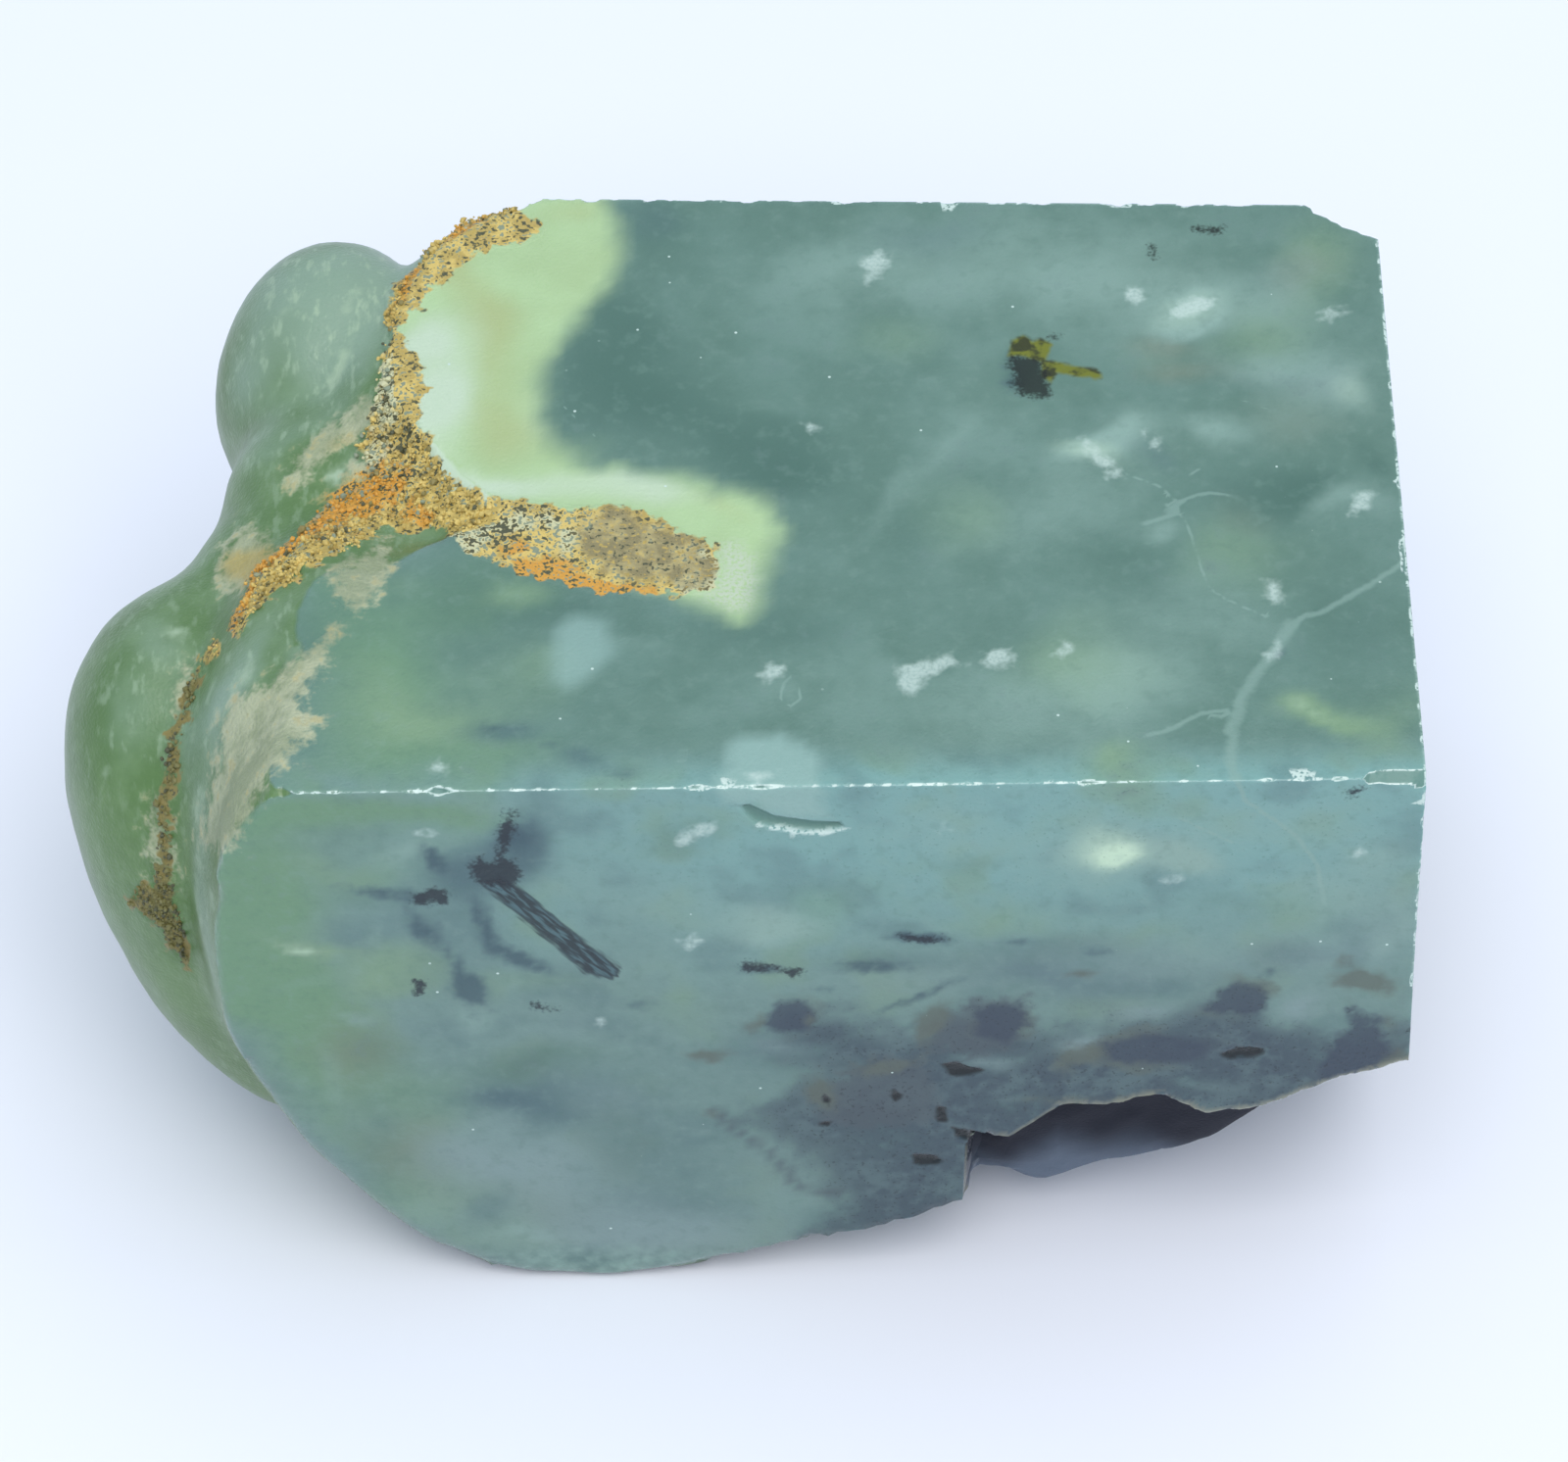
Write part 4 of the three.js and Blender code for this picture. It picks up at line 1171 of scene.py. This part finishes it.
def swatch(*chip):
    """Linear paint colour from a colour chip in steps of 0 to 255.

    It is a little deeper than the chip, since light and glow wash it out."""
    shade = []
    for step in chip:
        part = step / 255
        part = part / 12.92 if part < 0.04045 else ((part + 0.055) / 1.055) ** 2.4
        shade.append(max(part * 0.8 - 0.012, part * 0.4))
    return (*shade, 1)


SEA = swatch(102, 133, 121)
SEA_LIGHT = swatch(111, 142, 131)
DEEP = swatch(86, 118, 107)
VEIL = swatch(145, 174, 163)
WHITE = swatch(206, 224, 216)
ASH = swatch(138, 160, 159)
MOSS = swatch(132, 162, 130)
MINT_GREEN = swatch(184, 211, 162)
MINT_PALE = swatch(200, 218, 192)
KHAKI = swatch(178, 190, 136)
CREAM_WHITE = swatch(196, 208, 184)
# the front face's colours, lighter than the top's, partly their own milky tone and partly painted
# light
MILK_AND_LIGHT = swatch(130, 170, 165)
FRONT = swatch(119, 147, 140)
BLUE = swatch(86, 113, 117)
SMOKE = swatch(66, 90, 100)
SLATE_GREY = swatch(66, 81, 92)
NAVY = swatch(62, 74, 88)
HAZE = swatch(82, 92, 98)
SLATE_LIGHT = swatch(92, 112, 115)
MINT_DULL = swatch(176, 201, 152)
UMBER = swatch(124, 136, 116)
BROWN = swatch(98, 107, 98)
LEAF_FRONT = swatch(116, 152, 120)
LEAF = swatch(98, 129, 80)
LEAF_LIGHT = swatch(112, 142, 94)
PAINTED_SHEEN = swatch(142, 167, 146)
SKIN_FROST = swatch(170, 192, 164)
BRUISED = swatch(150, 182, 174)
INK = swatch(22, 44, 54)
OLIVE_INK = swatch(30, 40, 26)
NEEDLE_LIGHT = swatch(80, 108, 114)
PIT_DARK = swatch(32, 44, 48)
ROCK = swatch(104, 116, 106)
SAND_PALE = swatch(188, 192, 160)
SAND_TAN = swatch(158, 166, 134)
YELLOW = swatch(222, 196, 116)
ORANGE = swatch(218, 162, 72)
OCHRE = swatch(194, 170, 98)
RUST_BROWN = swatch(142, 130, 80)
GRIT_GREY = swatch(144, 154, 130)
GRIT_BLACK = swatch(90, 92, 70)
GRIT_PALE = swatch(210, 208, 166)
DUSKY_BROWN = swatch(176, 164, 118)
DUSKY_DARK = swatch(148, 138, 100)
# painted glow where light shows through the stone
PAINTED_GLOW = swatch(204, 228, 200)
SHADOWED = swatch(110, 146, 136)
# painted shade in the recess under the lip: dark near the lip, pale bluish grey lower down
RECESS_SHADE = swatch(58, 59, 66)
RECESS_SHADE_LOW = swatch(112, 122, 136)
LIP_TAN = swatch(134, 136, 120)
DULL_BROWN = swatch(122, 118, 74)
OLIVE = swatch(120, 126, 46)
OLIVE_DARK = swatch(66, 70, 34)
CLOUD_COLOURS = {
    "deep": DEEP, "leaf": LEAF_FRONT, "moss": MOSS, "umber": UMBER, "veil": VEIL, "dusk": BLUE,
    "ash": ASH, "painted_glow": PAINTED_GLOW,
}
CLOUD_SIZE = 4
MOTTLE_SIZE = 0.7
GRAIN_SIZE = 0.18
SPECK_SIZE = 0.22
DUST_CELL = 1.5


def cloudy(r, wisps, name, amount=0.5):
    """A mark whose edges break into wisps."""
    mark = r.mark(name)
    return r.times(r.ease(r.sway(mark, wisps, amount), 0.05, 1.05), r.ease(mark, 0, 0.2))


def crisp(r, name, mottle, low=-0.05, high=0.05, amount=0.25):
    """The inside of a drawn outline, a little frayed."""
    return r.ease(r.sway(r.mark(name), mottle, amount), low, high)


def effect(name, takes, gives, lay_out):
    """A named effect that several finishes share, with its inputs and outputs."""
    tree = bpy.data.node_groups.new(name, "ShaderNodeTree")
    for label in takes:
        tree.interface.new_socket(name=label, in_out="INPUT", socket_type="NodeSocketFloat")
    for label in gives:
        kind = "NodeSocketColor" if label == "Colour" else "NodeSocketFloat"
        tree.interface.new_socket(name=label, in_out="OUTPUT", socket_type=kind)
    r = Recipe(tree)
    entry = r.node("NodeGroupInput")
    results = lay_out(r, *[entry.outputs[label] for label in takes])
    r.node("NodeGroupOutput", dict(zip(gives, results)))
    return tree


def stone_grain(r, cloud_size, mottle_size):
    """Soft clouds, a finer mottling and the finest grain of the stone."""
    at = r.place()
    return r.noise(at, cloud_size), r.noise(at, mottle_size), r.noise(at, GRAIN_SIZE, 1)


def sawn_colour(r, wisps, mottle, grain):
    """The clouds, zones, seams and crystals that the saw laid open."""
    at = r.place()
    # the front's own milky tone, partly painted light: lighter than the top, and lighter still up
    # high
    front = r.coats(
        r.paint(r.mark("milk_and_light"), FRONT, MILK_AND_LIGHT),
        (r.ease(wisps, 0.5, 0.72), MOSS, 0.4),
        (r.ease(wisps, 0.48, 0.3), BLUE, 0.35),
    )
    colour = r.coats(
        r.paint(r.ease(wisps, 0.3, 0.7), SEA, SEA_LIGHT),
        (r.mark("front"), front),
        *[(cloudy(r, wisps, name), over) for name, over in CLOUD_COLOURS.items()],
        (r.ease(mottle, 0.5, 0.8), VEIL, 0.16),
        (r.ease(mottle, 0.5, 0.25), DEEP, 0.16),
    )

    # slate clouds, hazy patches with brown rims, and dark specks low on the front
    slate = r.ease(r.sway(r.sway(r.mark("slate"), wisps, 1.2), mottle, 0.6), 0.1, 1)
    slates = r.paint(r.ease(r.sway(wisps, mottle, 0.7), 0.3, 0.75), SLATE_GREY, SLATE_LIGHT)
    haze = crisp(r, "haze", mottle, -0.6, 0.4, 1.8)
    patch = r.sway(r.sway(r.mark("patch"), mottle, 0.9), wisps, 1.2)
    patched = r.ease(patch, -0.4, 0.3)
    rims = r.times(r.ease(patch, -0.9, -0.3), r.ease(patch, 0.4, 0), r.ease(wisps, 0.45, 0.65))
    colour = r.coats(
        colour,
        (slate, slates),
        (haze, HAZE, 0.7),
        (rims, BROWN, 0.65),
        (patched, NAVY, 0.85),
        (r.times(r.ease(grain, 0.62, 0.72), r.most(slate, patched, haze)), PIT_DARK, 0.4),
        (r.times(r.ease(grain, 0.66, 0.74), r.mark("milk_and_light")), DEEP, 0.25),
        (cloudy(r, mottle, "blue", 0.9), SMOKE, 0.85),
        (cloudy(r, mottle, "brown", 0.9), BROWN, 0.8),
    )

    # the pale foot, the crack, the lip, and painted shade in the hollow under it, dark at the lip
    # and pale bluish grey lower down
    hollow = r.mark("hollow")
    shaded_hollows = r.paint(r.ease(r.mark("recess shade low"), 0, 1), RECESS_SHADE, RECESS_SHADE_LOW)
    colour = r.coats(
        colour,
        (r.mark("rim"), VEIL, r.ease(mottle, 0.3, 0.9)),
        (r.mark("crack"), HAZE, 0.6),
        (r.mark("lip"), LIP_TAN, r.ease(mottle, 0.25, 0.55)),
        (r.ease(hollow, 0, 0.12), LIP_TAN),
        (r.ease(hollow, 0.12, 0.4), shaded_hollows),
    )

    # the mint zone beside the crust, and thin pale seams
    mint = r.coats(
        r.paint(r.ease(wisps, 0.3, 0.7), MINT_GREEN, MINT_DULL),
        (cloudy(r, wisps, "khaki", 0.3), KHAKI),
        (cloudy(r, wisps, "pale", 0.3), MINT_PALE),
        (r.mark("cream"), CREAM_WHITE, r.ease(grain, 0.3, 0.6)),
    )
    far = r.math("ABSOLUTE", r.sway(r.mark("seam across"), mottle, 2))
    seam = r.times(r.ease(far, 1.6, 0.2), r.ease(r.mark("seam near"), 3.6, 1.4))
    colour = r.coats(colour, (r.mark("mint"), mint), (seam, VEIL, 0.55))

    # the dark needle, the olive and ink crystals, and pits
    across = r.times(r.mark("needle across"), 6)
    along = r.node("ShaderNodeCombineXYZ", {0: across, 1: r.mark("needle along")}).outputs[0]
    streaks = r.noise(along, 1.3, 1)
    inner = r.times(r.ease(streaks, 0.44, 0.62), r.ease(r.mark("needle"), -0.1, 0.35))
    inky = r.sway(r.sway(r.mark("ink"), mottle, 0.9), grain, 0.7)
    colour = r.coats(
        colour,
        (crisp(r, "needle", streaks, -0.12, 0.16, 0.6), r.paint(inner, INK, NEEDLE_LIGHT), 0.92),
        (
            crisp(r, "olive", mottle, -0.15, 0.15, 0.5),
            r.paint(r.ease(mottle, 0.48, 0.64), OLIVE, OLIVE_DARK),
        ),
        (r.ease(inky, -0.25, 0.2), r.paint(r.mark("front"), OLIVE_INK, INK), 0.9),
        (crisp(r, "pit", mottle, -0.16, 0.12, 0.5), PIT_DARK),
    )

    # bruised spots, frosted flecks with some painted glints among them, chipped edges with painted
    # glints where they are fine and painted shade where they are wide, a painted glint along the
    # edge of the scoop, and dust
    flecks_and_glints = r.times(crisp(r, "flecks_and_glints", mottle, -0.3, 0.3, 1.1), r.ease(grain, -0.3, 0.75))
    chip = r.mark("chip")
    wide = r.most(r.ease(chip, 0.1, 0.2), r.ease(r.mark("scoop"), 0, 0.25))
    edge_glint = r.times(r.ease(chip, 0, 0.03), r.ease(chip, 0.2, 0.06))
    dots = r.node("ShaderNodeTexVoronoi", {"Vector": at, "Scale": 1 / DUST_CELL}).outputs
    lucky = r.node("ShaderNodeSeparateColor", {0: dots["Color"]}).outputs[0]
    return r.coats(
        colour,
        (r.most(r.mark("bruise"), r.times(r.mark("milky"), 0.8)), BRUISED, 0.9),
        (flecks_and_glints, WHITE, 0.7),
        (wide, SHADOWED),
        (r.most(edge_glint, r.mark("scoop_glint")), WHITE, r.ease(grain, 0.32, 0.52)),
        (r.ease(dots["Distance"], 0.055, 0.035), WHITE, r.ease(lucky, 0.62, 0.7)),
    ), wide


def skin_colour(r, wisps, mottle):
    """The green skin of the lobes, with a painted sheen on its upper sides and frosted streaks."""
    painted_sheen = r.mark("painted_sheen")
    scuffs = r.noise(r.place((1, 0.4, 0.4)), 0.42, 3)
    colour = r.coats(
        r.paint(r.ease(r.sway(wisps, mottle, 0.6), 0.3, 0.75), LEAF, LEAF_LIGHT),
        # the painted sheen, and frosted scuffs that show most under it
        (r.ease(r.sway(painted_sheen, wisps, 0.6), 0.1, 1), PAINTED_SHEEN),
        (r.ease(scuffs, 0.52, 0.72), SKIN_FROST, r.line(painted_sheen, 0.7, 0.1)),
        (cloudy(r, mottle, "frost", 0.9), SKIN_FROST),
        (r.mark("mint"), MINT_PALE),
        (r.mark("broken"), r.paint(r.ease(mottle, 0.35, 0.65), ROCK, BROWN)),
    )
    return (colour,)


def grit_tones(r, mottle, toss):
    """Rusty, sooty and pallid patches, picked out by a toss between 0 and 1."""
    past_grey = r.math("SUBTRACT", toss, r.line(r.mark("pallid"), 0.2, 0.04))
    past_soot = r.math("SUBTRACT", toss, r.line(r.mark("soot"), -0.3, 0.96))
    colour = r.coats(
        r.paint(r.ease(mottle, 0.4, 0.56), YELLOW, OCHRE),
        (r.ease(r.sway(r.mark("pallid"), mottle, 1.2), 0.2, 0.5), GRIT_PALE),
        (r.ease(r.sway(r.mark("amber"), mottle, 1.2), 0.2, 0.5), ORANGE),
        (r.ease(past_grey, 0.06, 0), GRIT_GREY),
        (r.ease(past_soot, -0.12, -0.06), RUST_BROWN),
        (r.ease(past_soot, 0, 0.03), GRIT_BLACK),
    )
    return (colour,)


NOISES = ("Clouds", "Mottle", "Grain")
STONE_GRAIN = effect("stone grain", ("Cloud Size", "Mottle Size"), NOISES, stone_grain)
SAWN_COLOUR = effect("sawn stone colour", NOISES, ("Colour", "Chipped"), sawn_colour)
SKIN_COLOUR = effect("lobe skin colour", NOISES[:2], ("Colour",), skin_colour)
GRIT_TONES = effect("rusty grit tones", ("Mottle", "Toss"), ("Colour",), grit_tones)


def crust_colour(r, under, wisps, mottle, grain):
    """Weathered sand and rust over what lies beside it."""
    sandy = r.coats(
        r.paint(r.ease(r.sway(wisps, mottle, 0.8), 0.35, 0.7), SAND_TAN, SAND_PALE),
        (r.ease(grain, 0.6, 0.8), GRIT_GREY, 0.25),
        (r.ease(mottle, 0.58, 0.72), OCHRE, 0.35),
        (r.ease(r.mark("amber"), 0.1, 0.7), OCHRE, 0.7),
    )
    sanded = r.sway(r.sway(r.mark("sand"), mottle, 2.4), grain, 0.8)
    specks = r.noise(r.place(), SPECK_SIZE, 1)
    brown = r.coats(
        r.paint(r.ease(mottle, 0.4, 0.6), DUSKY_BROWN, DUSKY_DARK),
        (r.ease(specks, 0.58, 0.7), OCHRE),
        (r.ease(specks, 0.38, 0.32), GRIT_BLACK),
    )
    dull = r.paint(r.ease(mottle, 0.4, 0.6), DULL_BROWN, RUST_BROWN)
    crust = r.coats(
        r.use(GRIT_TONES, mottle, r.ease(r.sway(specks, mottle, 0.5), 0.3, 0.7))[0],
        (r.mark("dusky"), brown, r.ease(mottle, 0.2, 0.45)),
        (r.mark("dull"), r.paint(r.ease(specks, 0.6, 0.7), dull, GRIT_BLACK)),
    )
    return r.coats(
        under,
        (r.ease(sanded, -0.4, 0.4), sandy, 0.9),
        (r.ease(r.sway(r.mark("rust"), mottle, 1.8), -0.1, 0.12), crust),
    )


def new_stuff(name):
    """A new material, its recipe and its shader."""
    stuff = bpy.data.materials.new(name)
    stuff.use_nodes = True
    return stuff, Recipe(stuff.node_tree), stuff.node_tree.nodes["Principled BSDF"]


SKIN_ROUGHNESS = 0.34
SAWN_ROUGHNESS = 0.2
BREAK_ROUGHNESS = 0.7
GRIT_ROUGHNESS = 0.6
MILKY_STONE = {
    "IOR": 1.62, "Specular IOR Level": 0.3,
    "Subsurface Weight": 0.35, "Subsurface Radius": (1, 1, 1), "Subsurface Scale": MM,
}
BREAK_SHINE = 0.05
BUMP = {"Strength": 0.35, "Distance": 0.1 * MM}


def finish(name, kind):
    """One finish of the stone: sawn, skin, crust or the break under the lip."""
    stuff, r, shader = new_stuff(name)
    wisps, mottle, grain = r.use(STONE_GRAIN, CLOUD_SIZE, MOTTLE_SIZE)
    height = grain
    if kind != "skin":
        colour, chipped = r.use(SAWN_COLOUR, wisps, mottle, grain)
    if kind in ("skin", "crust"):
        skin = r.use(SKIN_COLOUR, wisps, mottle)[0]
    if kind == "crust":
        cut = r.ease(r.sway(r.mark("cut"), mottle, 0.3), 0.3, 0.7)
        colour = crust_colour(r, r.paint(cut, skin, colour), wisps, mottle, grain)
        rusty = r.ease(r.mark("rust"), -0.2, 0.2)
        sandy = r.ease(r.mark("sand"), -0.2, 0.2)
        loose = r.most(rusty, sandy, chipped)
        roughness = r.line(loose, 0.3, r.line(cut, SAWN_ROUGHNESS - SKIN_ROUGHNESS, SKIN_ROUGHNESS))
        height = r.times(height, r.line(loose, 2.5, 1))
    elif kind == "sawn":
        roughness = r.line(chipped, 0.3, SAWN_ROUGHNESS)
    elif kind == "break":
        roughness = BREAK_ROUGHNESS
    else:
        colour, roughness = skin, SKIN_ROUGHNESS
    bump = r.node("ShaderNodeBump", {"Height": height, **BUMP}).outputs[0]
    r.feed(shader, {"Base Color": colour, "Roughness": roughness, "Normal": bump, **MILKY_STONE})
    if kind == "break":
        r.feed(shader, {"Specular IOR Level": BREAK_SHINE})
    return stuff


def grain_finish():
    """Rust, ochre, black and pale grit, one tone to a grain."""
    stuff, r, shader = new_stuff("rusty grit")
    mottle, toss = r.use(STONE_GRAIN, CLOUD_SIZE, MOTTLE_SIZE)[1], r.mark("tone")
    dull = r.paint(r.ease(toss, 0.7, 0.72), DULL_BROWN, GRIT_BLACK)
    grit = r.paint(r.mark("dull"), r.use(GRIT_TONES, mottle, toss)[0], dull)
    r.feed(shader, {"Base Color": grit, "Roughness": GRIT_ROUGHNESS})
    return stuff


FINISHES = {
    "sawn prehnite": "sawn", "lobe skin": "skin", "rusty crust": "crust", "break with painted shade": "break",
}
stone.data.materials.clear()
for name, kind in FINISHES.items():
    stone.data.materials.append(finish(name, kind))

# a face with any mixed corner is crust, one with any skin is skin, and one that is hollowed all
# over is the dull break that carries the painted shade of the recess
loops = read(mesh.loops, "vertex_index", kind=int).ravel()
starts = read(mesh.polygons, "loop_start", kind=int).ravel()
mixed = (whole_crust > -1) | (sand > -1.3) | ((border > 0.01) & (border < 0.99))
any_mixed = np.maximum.reduceat(mixed[loops].astype(int), starts)
any_skin = np.maximum.reduceat((border < 0.5)[loops].astype(int), starts)
hollowed = np.minimum.reduceat((recess > 0.4)[loops].astype(int), starts)
which = np.where(any_mixed > 0, 2, np.where(any_skin > 0, 1, 0))
mesh.polygons.foreach_set("material_index", np.where(hollowed > 0, 3, which))
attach(stone, "root")
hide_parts("prehnite")
grains.data.materials.append(grain_finish())
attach(grains, "root")

# ---------------------------------------------------------- camera, floor, light

CAMERA_LENS = 146.25
CAMERA_SENSOR = 36
CAMERA_PLACE = (0.002234, -0.206401, 0.247968)
CAMERA_TILT = 42
CAMERA_NEAR = 0.01
FLOOR_SIZE = 3
PAPER = (0.73, 0.74, 0.8, 1)
PAPER_ROUGHNESS = 0.7
LAMP_TINT = (1, 0.97, 0.93)
ROOM = {"Color": (0.69, 0.83, 1, 1), "Strength": 0.84}

camera_data = bpy.data.cameras.new("camera")
camera_data.lens = CAMERA_LENS
camera_data.sensor_width = CAMERA_SENSOR
camera_data.clip_start = CAMERA_NEAR
camera = bpy.data.objects.new("camera", camera_data)
camera.location = CAMERA_PLACE
camera.rotation_euler = (radians(CAMERA_TILT), 0, 0)
bpy.context.collection.objects.link(camera)
bpy.context.scene.camera = camera

bpy.ops.mesh.primitive_plane_add(size=FLOOR_SIZE, location=(0, 0, 0))
floor = bpy.context.active_object
floor.name = "pale floor"
paper, paper_recipe, paper_shader = new_stuff("pale paper")
paper_recipe.feed(paper_shader, {"Base Color": PAPER, "Roughness": PAPER_ROUGHNESS})
floor.data.materials.append(paper)


def lamp(name, place, aim, size, power):
    """A soft square light at a place, turned to face a point, in metres and watts."""
    data = bpy.data.lights.new(name, "AREA")
    data.size = size
    data.energy = power
    data.color = LAMP_TINT
    light = bpy.data.objects.new(name, data)
    light.location = place
    way = Vector(aim) - Vector(place)
    light.rotation_euler = way.to_track_quat("-Z", "Y").to_euler()
    bpy.context.collection.objects.link(light)


lamp("soft tent", (0.12, -0.06, 0.8), (0, 0, 0), 0.9, 2)
lamp("front fill", (0.06, -0.42, 0.66), (0, -0.08, 0), 0.5, 4)

world = bpy.data.worlds.new("pale room")
world.use_nodes = True
Recipe(world.node_tree).feed(world.node_tree.nodes["Background"], ROOM)
bpy.context.scene.world = world
